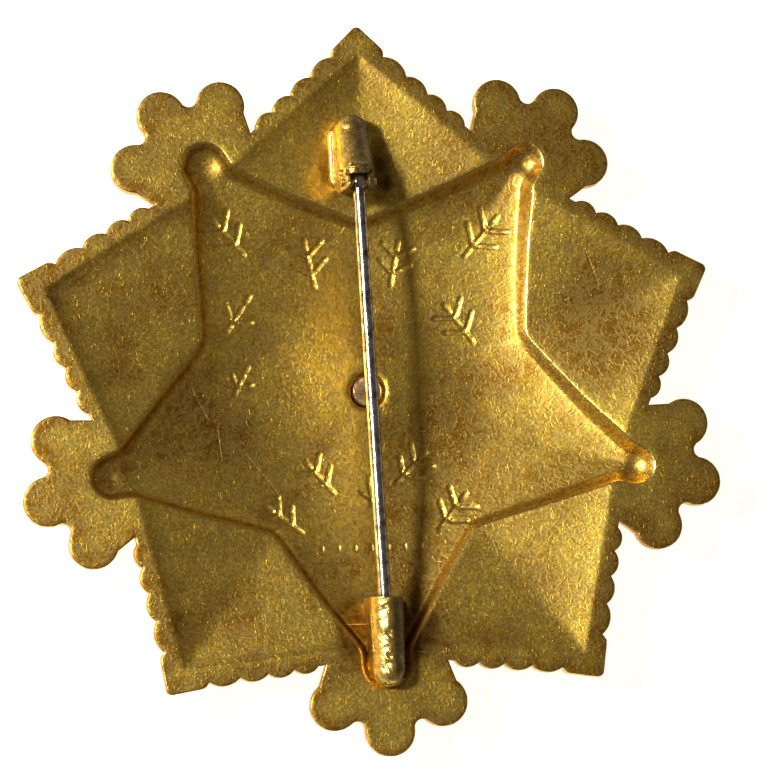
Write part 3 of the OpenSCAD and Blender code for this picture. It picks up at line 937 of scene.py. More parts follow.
    def _looks(self, points: np.ndarray, on_back: np.ndarray, back: BackRelief,
               outline: np.ndarray) -> dict[str, np.ndarray]:
        """Works out what the finish reads at each point.

        Args:
            points: the plate's points.
            on_back: which of them lie on the back; all else stays plain but for the darker rim.
            back: the back's relief.
            outline: the badge's outline.

        Returns:
            The values of each attribute, by its name.
        """
        plane = points[:, :2]
        share = back.star_share(plane) * on_back
        wall = 4 * share * (1 - share)
        burn_and_painted_shadow = unit(np.max([spot.at(points) for spot in self.burn_and_painted_shadow], axis=0) * on_back)
        dulling_and_painted_light = sum(spot.at(points) for spot in self.dulling_and_painted_light) * on_back
        return {
            "recess": share,
            "edge": swell(back.star_distance(plane), self.edge_w) * on_back,
            "groove": back.groove(plane)[1] * on_back,
            # Darkens every steep wall of the star evenly.
            "wall_darkening": wall,
            "polish_and_highlight": back.edge_lines(plane) * on_back,
            "stain_and_shade": np.maximum(burn_and_painted_shadow, self.wall_painted_shade * wall * rightward(-points, *self.wall_shade_from)),
            "painted_reflection": self.painted_reflection.at(points) * on_back,
            "dulling_and_painted_light": dulling_and_painted_light + swell(self._from_outline(points, outline), self.rim_dull_w),
        }

    def _from_outline(self, points: np.ndarray, outline: np.ndarray) -> np.ndarray:
        """Returns each point's distance from the outline, without end for points well inside."""
        tree = plane_tree(outline)
        away = np.full(len(points), np.inf)
        for index in np.flatnonzero(radius_of(points) > self.rim_dull_r):
            away[index] = tree.find((points[index, 0], points[index, 1], 0))[2]
        return away

    def _sheet(self, rim: np.ndarray, hole: np.ndarray, relief: Field, step: float, is_back: bool) -> dict:
        """Triangulates one side of the plate and lifts it to its relief.

        Args:
            rim: the outer loop.
            hole: the loop of the middle hole.
            relief: gives the height at plane points.
            step: the grid's spacing.
            is_back: whether this is the back, which has more detail.

        Returns:
            The points, the triangles and the indices of the rim's and the hole's points.
        """
        mesher = PlaneMesher()
        rim_at, rim_count = mesher.add_line(rim, closed=True)
        hole_at, hole_count = mesher.add_line(hole, closed=True)
        if is_back:
            self._features(mesher, relief)
        mesher.add_grid(step, self.sizes.arm_r, step * self.grid_clearance)
        plane, tris, place = mesher.triangulate()
        middles = plane[tris].mean(axis=1)
        tris = tris[inside_polygon(middles, rim) & ~inside_polygon(middles, hole)]
        used = np.unique(tris)
        renumber = np.full(len(plane), -1)
        renumber[used] = np.arange(len(used))
        plane = plane[used]
        rim_index = [int(renumber[place[rim_at + i]]) for i in range(rim_count)]
        hole_index = [int(renumber[place[hole_at + i]]) for i in range(hole_count)]
        return {"verts": np.column_stack([plane, relief(plane)]), "tris": renumber[tris],
                "rim": rim_index, "hole": hole_index}


@dataclass
class NodeKit:
    """Adds and joins the nodes of one tree."""

    tree: Tree

    def feed(self, socket: Socket, value: Given) -> None:
        """Joins an output to an input socket, or sets the socket's own value."""
        if isinstance(value, Socket):
            self.tree.links.new(value, socket)
        else:
            socket.default_value = value

    def node(self, kind: str, given: dict[str | int, Given], output: str | int = 0,
             **settings: object) -> Socket:
        """Adds a node.

        Args:
            kind: the node's type.
            given: what its inputs are fed, by their names or numbers.
            output: the name or number of the output that is wanted.
            settings: the node's own settings.

        Returns:
            The wanted output.
        """
        node = self.tree.nodes.new(kind)
        for key, value in settings.items():
            setattr(node, key, value)
        for key, value in given.items():
            self.feed(node.inputs[key], value)
        return node.outputs[output]

    def math(self, operation: str, *values: Given) -> Socket:
        """Works out one operation on numbers."""
        return self.node("ShaderNodeMath", dict(enumerate(values)), operation=operation)

    def times(self, a: Given, b: Given) -> Socket:
        """Multiplies two numbers."""
        return self.math("MULTIPLY", a, b)

    def scaled(self, vector: Given, factor: Given) -> Socket:
        """Multiplies a vector or a colour by a number."""
        return self.node("ShaderNodeVectorMath", {0: vector, "Scale": factor}, operation="SCALE")

    def attribute(self, name: str) -> Socket:
        """Reads a float attribute of the surface by its name."""
        return self.node("ShaderNodeAttribute", {}, "Fac", attribute_name=name)

    def named(self, name: str, kind: str) -> Socket:
        """Reads an attribute of the seed by its name."""
        return self.node("GeometryNodeInputNamedAttribute", {"Name": name}, "Attribute", data_type=kind)

    def noise(self, vector: Given, scale: Given, detail: float, roughness: float = 0.5,
              output: str = "Fac") -> Socket:
        """Adds a noise texture."""
        given = {"Vector": vector, "Scale": scale, "Detail": detail, "Roughness": roughness}
        return self.node("ShaderNodeTexNoise", given, output)

    def ramp(self, value: Given, low: Given, high: Given, to_low: Given = 0.0,
             to_high: Given = 1.0) -> Socket:
        """Maps a value's stretch from low to high smoothly onto another stretch."""
        given = {"Value": value, "From Min": low, "From Max": high, "To Min": to_low, "To Max": to_high}
        return self.node("ShaderNodeMapRange", given, "Result", interpolation_type="SMOOTHSTEP")

    def mix(self, share: Given, a: Given, b: Given) -> Socket:
        """Mixes two colours."""
        a, b = [c if isinstance(c, Socket) else (*c, 1) for c in (a, b)]
        return self.node("ShaderNodeMix", {0: share, 6: a, 7: b}, 2, data_type="RGBA")


OpenTree = tuple[NodeKit, bpy.types.NodeOutputs, Socket]


def open_tree(name: str, kind: str, inputs: dict[str, str], outputs: dict[str, str]) -> OpenTree:
    """Starts a node tree.

    Args:
        name: the tree's name.
        kind: the tree's type.
        inputs: the kinds of its inputs, by their names.
        outputs: the kind of its output, by its name.

    Returns:
        A kit for its nodes, what it is given, and the socket of its result.
    """
    tree = bpy.data.node_groups.new(name, kind)
    for way, sockets in (("INPUT", inputs), ("OUTPUT", outputs)):
        for key, value in sockets.items():
            tree.interface.new_socket(key, in_out=way, socket_type="NodeSocket" + value)
    given, result = tree.nodes.new("NodeGroupInput"), tree.nodes.new("NodeGroupOutput")
    return NodeKit(tree), given.outputs, result.inputs[0]


def lathe(profile: list[tuple[float, float]], count: int,
          closed: bool) -> tuple[np.ndarray, list[list[int]]]:
    """Turns a profile about the Z axis.

    Args:
        profile: radius and height of each corner, with the solid on its left hand.
        count: the number of steps round the axis.
        closed: whether the last corner is joined to the first; if not, both ends lie on the axis.

    Returns:
        The points and the faces, which point outwards.
    """
    inner = profile if closed else profile[1:-1]
    angles = np.arange(count) * math.tau / count
    verts = [np.column_stack([r * np.cos(angles), r * np.sin(angles), np.full(count, z)]) for r, z in inner]
    faces = []
    rings = len(inner)
    for k in range(rings if closed else rings - 1):
        a, b = k * count, ((k + 1) % rings) * count
        for i in range(count):
            j = (i + 1) % count
            faces.append([a + i, a + j, b + j, b + i])
    if not closed:
        first, last = rings * count, rings * count + 1
        verts.append(np.array([[0, 0, profile[0][1]], [0, 0, profile[-1][1]]]))
        top = (rings - 1) * count
        for i in range(count):
            j = (i + 1) % count
            faces.append([j, i, first])
            faces.append([top + i, top + j, last])
    return np.vstack(verts), faces


def rounded(profile: list[tuple[float, float, float]], closed: bool,
            steps: int = 3) -> list[tuple[float, float]]:
    """Rounds a profile's corners.

    Args:
        profile: radius, height and rounding of each corner.
        closed: whether the last corner is joined to the first.
        steps: the number of pieces in each rounding.

    Returns:
        The finer profile.
    """
    made: list[tuple[float, float]] = []
    count = len(profile)
    for index, (r, z, ease) in enumerate(profile):
        if ease <= 0 or (not closed and index in (0, count - 1)):
            made.append((r, z))
            continue
        here = np.array([r, z])
        before = np.array(profile[index - 1][:2]) - here
        after = np.array(profile[(index + 1) % count][:2]) - here
        a = here + before / np.linalg.norm(before) * ease
        b = here + after / np.linalg.norm(after) * ease
        for t in np.linspace(0, 1, steps + 1):
            point = (1 - t) ** 2 * a + 2 * t * (1 - t) * here + t**2 * b
            made.append((float(point[0]), float(point[1])))
    return made


@dataclass(frozen=True)
class Dents:
    """A smooth seeded unevenness in space, with values from about -1 to 1."""

    seed: int
    pitch: float
    waves: int = 14

    def __call__(self, points: np.ndarray) -> np.ndarray:
        """Returns the unevenness at each point."""
        rng = np.random.default_rng(self.seed)
        total = np.zeros(len(points))
        for _ in range(self.waves):
            way = rng.normal(size=3)
            way *= math.tau / self.pitch * rng.uniform(0.6, 1.5) / np.linalg.norm(way)
            total += np.sin(points @ way + rng.uniform(0, math.tau))
        return total / math.sqrt(self.waves) / 1.6


def block_field(away: np.ndarray, ease: float) -> np.ndarray:
    """Returns the distance to a rounded block, from how far points lie past the sides of its core."""
    return np.linalg.norm(np.maximum(away, 0), axis=1) + np.minimum(away.max(axis=1), 0) - ease


def box_field(points: np.ndarray, low: Place, high: Place, ease: float) -> np.ndarray:
    """Returns the signed distance to a box whose edges are rounded by `ease`."""
    low_, high_ = np.array(low, float) + ease, np.array(high, float) - ease
    return block_field(np.abs(points - (low_ + high_) / 2) - (high_ - low_) / 2, ease)


def rod_field(points: np.ndarray, y: float, z: float, radius: float, half_w: float) -> np.ndarray:
    """Returns the signed distance to a rod along X."""
    round_ = np.hypot(points[:, 1] - y, points[:, 2] - z) - radius
    return np.maximum(round_, np.abs(points[:, 0]) - half_w)


def hood_field(points: np.ndarray, radius: float, axis_z: np.ndarray, dome_y: float) -> np.ndarray:
    """Returns the distance to a vault along Y that ends in a quarter ball and has upright walls below."""
    past = np.maximum(points[:, 1] - dome_y, 0)
    over = np.maximum(points[:, 2] - axis_z, 0)
    return np.sqrt(points[:, 0] ** 2 + past**2 + over**2) - radius


def smooth_union(a: np.ndarray, b: np.ndarray, ease: float) -> np.ndarray:
    """Joins two fields with a fillet."""
    close = np.maximum(ease - np.abs(a - b), 0) / ease
    return np.minimum(a, b) - close**2 * ease / 4


def smooth_cut(a: np.ndarray, b: np.ndarray, ease: float) -> np.ndarray:
    """Cuts field b out of field a with a rounded edge."""
    close = np.maximum(ease - np.abs(a + b), 0) / ease
    return np.maximum(a, -b) + close**2 * ease / 4


@dataclass
class FieldMesher:
    """Turns a signed distance field into a closed mesh of quads."""

    step: float = 0.06

    def mesh(self, shape: Field, low: Place, high: Place) -> tuple[np.ndarray, list[list[int]]]:
        """Meshes the field inside a box.

        Args:
            shape: gives the signed distance at points.
            low: the box's lower corner.
            high: the box's upper corner.

        Returns:
            The points, settled on the surface, and the faces, which point outwards.
        """
        low_ = np.array(low, float)
        counts = np.ceil((np.array(high) - low_) / self.step).astype(int) + 1
        axes = [low_[i] + np.arange(counts[i]) * self.step for i in range(3)]
        grid = np.stack(np.meshgrid(*axes, indexing="ij"), axis=-1).reshape(-1, 3)
        values = shape(grid).reshape(counts)
        cells = counts - 1
        total = np.zeros((*cells, 3))
        hits = np.zeros(cells)
        for corner in np.ndindex(2, 2, 2):
            for axis in range(3):
                if corner[axis]:
                    continue
                other = list(corner)
                other[axis] = 1
                a = values[tuple(slice(o, o + n) for o, n in zip(corner, cells))]
                b = values[tuple(slice(o, o + n) for o, n in zip(other, cells))]
                cross = (a < 0) != (b < 0)
                t = np.where(cross, a / np.where(cross, a - b, 1), 0)
                place = np.zeros((*cells, 3)) + np.array(corner, float)
                place[..., axis] += t
                total += place * cross[..., None]
                hits += cross
        full = hits > 0
        number = np.full(tuple(cells), -1)
        number[full] = np.arange(int(full.sum()))
        verts = low_ + (np.argwhere(full) + total[full] / hits[full][:, None]) * self.step
        faces: list[np.ndarray] = []
        for axis in range(3):
            one, two = (axis + 1) % 3, (axis + 2) % 3
            span = [slice(1, n) for n in cells]
            span[axis] = slice(0, cells[axis])
            after = list(span)
            after[axis] = slice(1, cells[axis] + 1)
            a, b = values[tuple(span)] < 0, values[tuple(after)] < 0
            for rising in (True, False):
                at = np.argwhere((a & ~b) if rising else (~a & b))
                at += [0 if i == axis else 1 for i in range(3)]
                ring = []
                for d1, d2 in ((-1, -1), (0, -1), (0, 0), (-1, 0)):
                    cell = at.copy()
                    cell[:, one] += d1
                    cell[:, two] += d2
                    ring.append(number[tuple(cell.T)])
                quads = np.stack(ring if rising else ring[::-1], axis=1)
                faces.append(quads[(quads >= 0).all(axis=1)])
        for _ in range(2):
            verts = self._settle(verts, shape)
        return verts, np.vstack(faces).tolist()

    def _settle(self, verts: np.ndarray, shape: Field) -> np.ndarray:
        """Moves points along the field's slope towards its zero, by no more than half a step."""
        small = self.step * 0.2
        here = shape(verts)
        slope = np.stack([(shape(verts + small * np.eye(3)[i]) - here) / small for i in range(3)], axis=1)
        size = np.maximum((slope**2).sum(axis=1), 0.25)
        move = -slope * (here / size)[:, None]
        length = np.maximum(np.linalg.norm(move, axis=1), 1e-9)
        return verts + move * np.minimum(1, 0.5 * self.step / length)[:, None]


@dataclass
class HingeBox:
    """The hooded hinge box, soldered to the top arm: a dented vault, two cheeks and an oval foot.

    The brow is a thin sheet over the eye, with a bead along its lip. A slot and a bite are torn from the left
    cheek, each given by its place.
    """

    sizes: BadgeSizes
    width: float = 2.44
    crest_z: float = 7.45
    fall: float = 1.2
    dome_y: float = 17.6
    roof_y: float = 14.55
    box_low_y: float = 12.9
    box_high_y: float = 18.9
    cheek_r: float = 0.6
    cheek_slant: float = 0.3
    cheek_slant_z: float = 5.9
    sheet: float = 0.42
    skin: float = 0.03
    cheek_t: float = 0.62
    foot_z: float = 3.2
    foot_start: float = 0.55
    foot_end: float = 0.75
    foot_corner: float = 1.0
    foot_ease: float = 0.2
    flange_w: float = 0.3
    flange_z: float = 3.78
    flange_rise: float = 0.123
    hole_r: float = 0.29
    brow_low: Place = (-0.72, 14.22, 7.08)
    brow_high: Place = (0.72, 14.95, 7.35)
    lip_y: float = 14.88
    lip_sink: float = 0.18
    lip_r: float = 0.17
    lip_half_w: float = 0.62
    slot_low: Place = (-1.4, 13.98, 5.95)
    slot_high: Place = (-1.0, 14.62, 7.95)
    bite: Place = (-0.72, 13.86, 7.3)
    bite_r: float = 0.2
    dents: Dents = Dents(11, 1.3)
    nicks: Dents = Dents(5, 0.35)
    dent_depth: float = 0.03
    nick_depth: float = 0.006
    roof_arch: float = 0.12
    roof_ragged: float = 0.05
    brow_ragged: float = 0.02
    tear_ragged: float = 0.07

    def axis_at(self, y: np.ndarray) -> np.ndarray:
        """Returns the height of the vault's axis, which falls towards the dome."""
        share = unit((y - self.roof_y) / (self.dome_y - self.roof_y))
        return self.crest_z - self.width / 2 - self.fall * share

    def shape(self, points: np.ndarray) -> np.ndarray:
        """Returns the signed distance to the hinge box, in the pin's frame."""
        s = self.sizes
        half = self.width / 2
        x, y, z = np.abs(points[:, 0]), points[:, 1], points[:, 2]
        axis_z, nicks = self.axis_at(y), self.nicks(points)
        hood = hood_field(points, half - self.skin, axis_z, self.dome_y)
        hood = hood + (self.dent_depth * self.dents(points) + self.nick_depth * nicks)
        roof = np.maximum(hood, self.roof_y - self.roof_arch * x + self.roof_ragged * nicks - y)
        inside = half - self.cheek_t - x
        cheeks = np.maximum(rod_field(points, s.axle_y, s.axle_z, self.cheek_r, half), inside)
        low_y, high_y = s.axle_y - self.cheek_r, self.roof_y + 0.3
        post = box_field(points, (-half, low_y, self.foot_z), (half, high_y, s.axle_z), 0.08)
        top_low, top_high = (-half, s.axle_y, s.axle_z - self.cheek_r), (half, high_y, s.axle_z + 0.3)
        top = box_field(points, top_low, top_high, 0.08)
        sides = np.maximum(np.minimum(post, top), inside)
        solid = smooth_union(roof, smooth_union(cheeks, sides, 0.1), 0.08)
        inner = np.maximum(hood_field(points, half - self.sheet, axis_z, self.dome_y), self.roof_y - 0.1 - y)
        solid = smooth_cut(solid, np.maximum(inner, self.flange_z + 0.1 - z), 0.06)
        solid = np.maximum(solid, hood_field(points, half, axis_z, self.dome_y))
        solid = np.maximum(solid, low_y + self.cheek_slant * np.maximum(self.cheek_slant_z - z, 0) - y)
        brow = box_field(points, self.brow_low, self.brow_high, 0.1) + self.brow_ragged * nicks
        solid = smooth_union(solid, np.maximum(brow, hood), 0.05)
        lip = np.hypot(y - self.lip_y, z - self.crest_z + self.lip_sink) - self.lip_r
        solid = smooth_union(solid, np.maximum(lip, x - self.lip_half_w), 0.03)
        slot = box_field(points, self.slot_low, self.slot_high, 0.08)
        bite = np.linalg.norm(points - np.array(self.bite), axis=1) - self.bite_r
        solid = smooth_cut(solid, np.minimum(slot, bite) + self.tear_ragged * nicks, 0.05)
        solid = np.maximum(smooth_union(solid, self._foot(points), 0.03), self.foot_z - z)
        return np.maximum(solid, -rod_field(points, s.axle_y, s.axle_z, self.hole_r, self.width))

    def _foot(self, points: np.ndarray) -> np.ndarray:
        """Returns the field of the oval foot plate."""
        low_y = self.sizes.axle_y - self.cheek_r + self.foot_start
        high_y = self.dome_y + self.foot_end
        half, corner, ease = self.width / 2 + self.flange_w, self.foot_corner, self.foot_ease
        core = [half - corner, (high_y - low_y) / 2 - corner]
        plane = block_field(np.abs(points[:, :2] - [0, (low_y + high_y) / 2]) - core, corner)
        top_z = self.flange_z + self.flange_rise * (points[:, 1] - low_y)
        return block_field(np.stack([plane + ease, points[:, 2] - top_z + ease], axis=1), ease)

    def build(self) -> Piece:
        """Builds the hinge box in the badge's frame."""
        half = self.width / 2
        reach = half + self.flange_w + 0.15
        low, high = (-reach, self.box_low_y, self.foot_z - 0.15), (reach, self.box_high_y, self.crest_z + 0.2)
        verts, faces = FieldMesher().mesh(self.shape, low, high)
        x, y, z = verts.T
        # Painted shade: the vault darkens over its top as tarnish, and more on its right side, away from the
        # key light. Painted highlight: the foot plate's rim and the brow's lip are laid in the polish colour.
        crest = unit(z - self.axis_at(y) + 0.5)
        stain_and_shade = np.clip(crest * (0.25 + 1.1 * unit(0.5 + x / half)), 0.3, 1)
        line = swell(y - self.lip_y, 0.1) * (z > self.crest_z - 0.3)
        foot = unit((4.7 - z) / 0.2) * unit((np.abs(x) - half - 0.08) / 0.1)
        return mesh_object("hinge_box", self.sizes.on_pin_line(verts), faces,
                           {"stain_and_shade": stain_and_shade * (1 - foot), "polish_and_highlight": np.maximum(foot, 0.5 * line)})


@dataclass
class CatchHook:
    """The hooked catch, soldered over the lowest point of the star: a hammered half tube with a domed end.

    Its frame has x from the catch's own middle and y down the pin, from `start` to the middle of its dome.
    """

    sizes: BadgeSizes
    width: float = 2.32
    start: float = 14.6
    dome_y: float = 19.4
    axis_z: float = 5.87
    shift: float = 0.15
    sheet: float = 0.4
    skin: float = 0.02
    foot_z: float = 3.9
    base_z: float = 3.25
    lip_rise: float = 0.2
    heel_len: float = 3.6
    heel_z: float = 2.6
    blows_x: float = -0.3
    blows_w: float = 0.34
    hammer: Dents = Dents(23, 0.55)
    dents: Dents = Dents(3, 1.6)
    blow_depth: float = 0.05
    dent_depth: float = 0.02
    front_slant: float = 0.12
    crest_drop: float = 0.07
    fall: float = 0.4
    inner_fall: float = 0.3

    def shape(self, points: np.ndarray) -> np.ndarray:
        """Returns the signed distance to the catch, in its own frame."""
        x, y, z = points.T
        half = self.width / 2
        way = unit((y - self.start) / (self.dome_y - self.start))
        crest_z = self.axis_z - self.crest_drop
        blows = swell(x - self.blows_x, self.blows_w) * (z > self.axis_z - 0.3)
        outer = hood_field(points, half - self.skin, crest_z - self.fall * way, self.dome_y)
        struck = self.blow_depth * blows * (self.hammer(points) + 0.4)
        outer = outer + (self.dent_depth * self.dents(points) + struck)
        front = self.start - y + self.front_slant * x * (x < 0)
        tube = np.maximum(np.maximum(outer, front), self.base_z - z)
        heel_end = (half, self.start + self.heel_len, self.axis_z)
        solid = np.minimum(tube, box_field(points, (-half, self.start, self.heel_z), heel_end, 0.05))
        inner = hood_field(points, half - self.sheet, crest_z - self.inner_fall * way, self.dome_y)
        solid = smooth_cut(solid, np.maximum(inner, self.foot_z - z), 0.06)
        mouth_end = (half + 1, self.dome_y + half / 2, self.axis_z + self.lip_rise)
        solid = smooth_cut(solid, box_field(points, (0, self.start - 1, self.foot_z), mouth_end, 0.05), 0.1)
        return np.maximum(solid, z - (self.axis_z + half))

    def build(self) -> Piece:
        """Builds the catch in the badge's frame."""
        half = self.width / 2
        reach = half + 0.15
        low = (-reach, self.start - 0.2, self.heel_z - 0.12)
        high = (reach, self.dome_y + half + 0.2, self.axis_z + reach)
        verts, faces = FieldMesher().mesh(self.shape, low, high)
        x, z = verts[:, 0], verts[:, 2]
        # Painted highlight: a band along the hammered crest is laid in the polish colour, partly the polish
        # of the blows. Painted shade: the right half, away from the key light, darkens.
        crest_polish_and_highlight = swell(x - self.blows_x, 0.3) * unit((z - self.axis_z - 0.2) / 0.5)
        stain_and_shade = unit((x - 0.05) / 0.25) * unit((z - self.axis_z + 0.6) / 0.5)
        placed = self.sizes.on_pin_line((verts + [self.shift, 0, 0]) * [1, -1, 1])
        faces = [face[::-1] for face in faces]
        return mesh_object("catch", placed, faces, {"stain_and_shade": stain_and_shade, "polish_and_highlight": crest_polish_and_highlight})


@dataclass
class GrownPiece:
    """A piece that a Geometry Nodes tree grows and that is kept as a plain mesh."""

    name: str
    tree: Tree
    settings: dict[str, object]

    def build(self, seed: Piece) -> Piece:
        """Grows the piece from its seed mesh.

        Args:
            seed: the object whose mesh the tree reads; it becomes the piece.

        Returns:
            The same object with the grown, plain mesh.
        """
        modifier = seed.modifiers.new("grow", "NODES")
        modifier.node_group = self.tree
        for item in self.tree.interface.items_tree:
            if item.item_type == "SOCKET" and item.in_out == "INPUT" and item.name in self.settings:
                modifier[item.identifier] = self.settings[item.name]
        graph = bpy.context.evaluated_depsgraph_get()
        mesh = bpy.data.meshes.new_from_object(seed.evaluated_get(graph))
        seed.modifiers.clear()
        seed.data = mesh
        seed.name = self.name
        mesh.name = self.name
        LOG.info("%s: %d points, %d faces", self.name, len(mesh.vertices), len(mesh.polygons))
        return seed


def open_geometry(name: str, inputs: dict[str, str]) -> OpenTree:
    """Starts a Geometry Nodes tree that is given a seed, a material and some more inputs."""
    geometry = {"Geometry": "Geometry"}
    return open_tree(name, "GeometryNodeTree", geometry | inputs | {"Material": "Material"}, geometry)


def placing_tree() -> Tree:
    """Makes the tree that sets a shape on every seed point, by the attributes `turn` and `size`."""
    kit, given, result = open_geometry("place_shapes", {"Shape": "Object"})
    shape = kit.node("GeometryNodeObjectInfo", {"Object": given["Shape"]}, "Geometry",
                     transform_space="ORIGINAL")
    turn = kit.node("FunctionNodeEulerToRotation", {0: kit.named("turn", "FLOAT_VECTOR")})
    placed = kit.node("GeometryNodeInstanceOnPoints", {
        "Points": given["Geometry"], "Instance": shape, "Rotation": turn,
        "Scale": kit.named("size", "FLOAT_VECTOR")})
    return dress(kit, placed, given, result)


def sweeping_tree() -> Tree:
    """Makes the tree that sweeps a round profile along the seed's edges, as thick as its `radius`."""
    kit, given, result = open_geometry("sweep_wire", {"Sides": "Int"})
    path = kit.node("GeometryNodeMeshToCurve", {"Mesh": given["Geometry"]})
    circle = kit.node("GeometryNodeCurvePrimitiveCircle", {"Resolution": given["Sides"], "Radius": 1.0})
    swept = kit.node("GeometryNodeCurveToMesh", {
        "Curve": path, "Profile Curve": circle, "Scale": kit.named("radius", "FLOAT"), "Fill Caps": True})
    return dress(kit, kit.node("GeometryNodeSetShadeSmooth", {"Geometry": swept}), given, result)


def dress(kit: NodeKit, shape: Socket, given: bpy.types.NodeOutputs, result: Socket) -> Tree:
    """Ends a Geometry Nodes tree: makes its instances real and sets their material."""
    real = kit.node("GeometryNodeRealizeInstances", {"Geometry": shape})
    kit.feed(result, kit.node("GeometryNodeSetMaterial", {"Geometry": real, "Material": given["Material"]}))
    return kit.tree


def seed_object(name: str, points: np.ndarray, edges: list[tuple[int, int]],
                attributes: dict[str, np.ndarray]) -> Piece:
    """Makes a mesh of loose points or edges.

    Args:
        name: the object's name.
        points: points in millimetres.
        edges: pairs of point indices.
        attributes: the numbers or vectors that a tree reads at each point, by name.

    Returns:
        The linked object.
    """
    mesh = bpy.data.meshes.new(name)
    mesh.from_pydata((np.asarray(points) * MM).tolist(), edges, [])
    for key, values in attributes.items():
        kind, part = ("FLOAT", "value") if values.ndim == 1 else ("FLOAT_VECTOR", "vector")
        mesh.attributes.new(key, kind, "POINT").data.foreach_set(part, values.astype(np.float32).ravel())
    return linked(name, mesh)


@dataclass
class FrontOrnament:
    """The front's rays and lobe domes, which stand for whatever the hidden front carries."""

    sizes: BadgeSizes
    back: BackRelief
    tree: Tree
    material: Material
    ray_rise: float = 0.34
    middle_ray_rise: float = 0.42
    ray_fill: float = 0.96
    ray_lift: float = 0.02
    ray_start_r: float = 12.9
    ray_start_step: float = 0.9
    ray_end_gap: float = 0.25
    lobe_rise: float = 0.38
    lobe_margin: float = 0.16

    def _grow(self, name: str, shape: Piece, places: list, turns: list,
              sizes: list) -> Piece:
        """Sets a shape at each place.

        Args:
            name: the piece's name.
            shape: the shape, of unit size; it is removed.
            places: where each copy stands, in millimetres.
            turns: how each copy is turned, about X, Y and Z.
            sizes: the size of each copy, in millimetres.

        Returns:
            The grown piece.
        """
        looks = {"turn": np.array(turns), "size": np.array(sizes) * MM}
        seed = seed_object(name, np.array(places), [], looks)
        grown = GrownPiece(name, self.tree, {"Shape": shape, "Material": self.material}).build(seed)
        bpy.data.objects.remove(shape)
        return grown

    def _ray(self) -> Piece:
        """Makes a ray of unit length, width and rise: a rounded ridge that widens outwards along +Y."""
        stations = [(0.0, 0.35, 0.1), (0.03, 0.5, 0.75), (0.1, 0.58, 1.0), (0.5, 0.78, 1.0),
                    (0.93, 0.99, 1.0), (0.985, 0.85, 0.7), (1.0, 0.55, 0.05)]
        around = [(-1.0, 0.35), (-0.93, -0.1), (-0.7, -0.5), (-0.38, -0.84), (0.0, -1.0),
                  (0.38, -0.84), (0.7, -0.5), (0.93, -0.1), (1.0, 0.35)]
        verts = [(x * wide, y, z * rise if z < 0 else z) for y, wide, rise in stations for x, z in around]
        ring = len(around)
        starts = range(0, (len(stations) - 1) * ring, ring)
        faces = [[k + i, k + i + 1, k + ring + i + 1, k + ring + i] for k in starts for i in range(ring - 1)]
        faces += [[k + ring, k + 2 * ring - 1, k + ring - 1, k] for k in starts]
        faces += [list(range(ring))[::-1], list(range(len(verts) - ring, len(verts)))]
        return mesh_object("ray_shape", np.array(verts) / MM, faces)

    def rays(self) -> Piece:
        """Grows the nine rays of each arm."""
        s = self.sizes
        places, turns, sizes = [], [], []
        for arm in range(ARMS):
            for index in range(-RAYS_A_SIDE, RAYS_A_SIDE + 1):
                step = abs(index) - 1
                away, end, half_turn, rise = 0.0, s.shoulder_y, s.first_hollow, self.middle_ray_rise
                if index:
                    away = s.first_hollow + (step + 0.5) * s.ray_pitch
                    end = s.scallop_line_d / math.sin(s.edge_angle + away) - self.ray_end_gap
                    half_turn, rise = s.ray_pitch / 2, self.ray_rise
                start = self.ray_start_r + max(step, 0) * self.ray_start_step
                angle = arm * ARM_TURN + math.copysign(away, index)
                ends = np.array([polar(start, angle), polar(end, angle)])
                z0, z1 = s.rim_front_z + self.back.panel(ends)
                z0, z1 = z0 + self.ray_lift, min(z1, s.rim_front_z)
                places.append([*ends[0], z0])
                turns.append([math.atan2(z1 - z0, end - start), 0, -angle])
                sizes.append([end * math.tan(half_turn) * self.ray_fill, end - start, rise])
        return self._grow("front_rays", self._ray(), places, turns, sizes)

    def lobes(self) -> Piece:
        """Grows the dome on each lobe of each flower."""
        s = self.sizes
        rim = [(0.0, -1.0)] + [(math.sin(a), -math.cos(a)) for a in np.linspace(0.18, math.pi / 2, 9)]
        verts, faces = lathe(rim + [(0.98, 0.35), (0.0, 0.35)], 40, closed=False)
        places = [[*turned(centre, HALF_TURN + arm * ARM_TURN), s.rim_front_z]
                  for arm in range(ARMS) for centre in s.lobes()]
        radius = s.lobe_r - self.lobe_margin
        sizes = [[radius, radius, self.lobe_rise]] * len(places)
        return self._grow("front_lobes", mesh_object("lobe_shape", verts / MM, faces), places,
                          [[0.0, 0.0, 0.0]] * len(places), sizes)


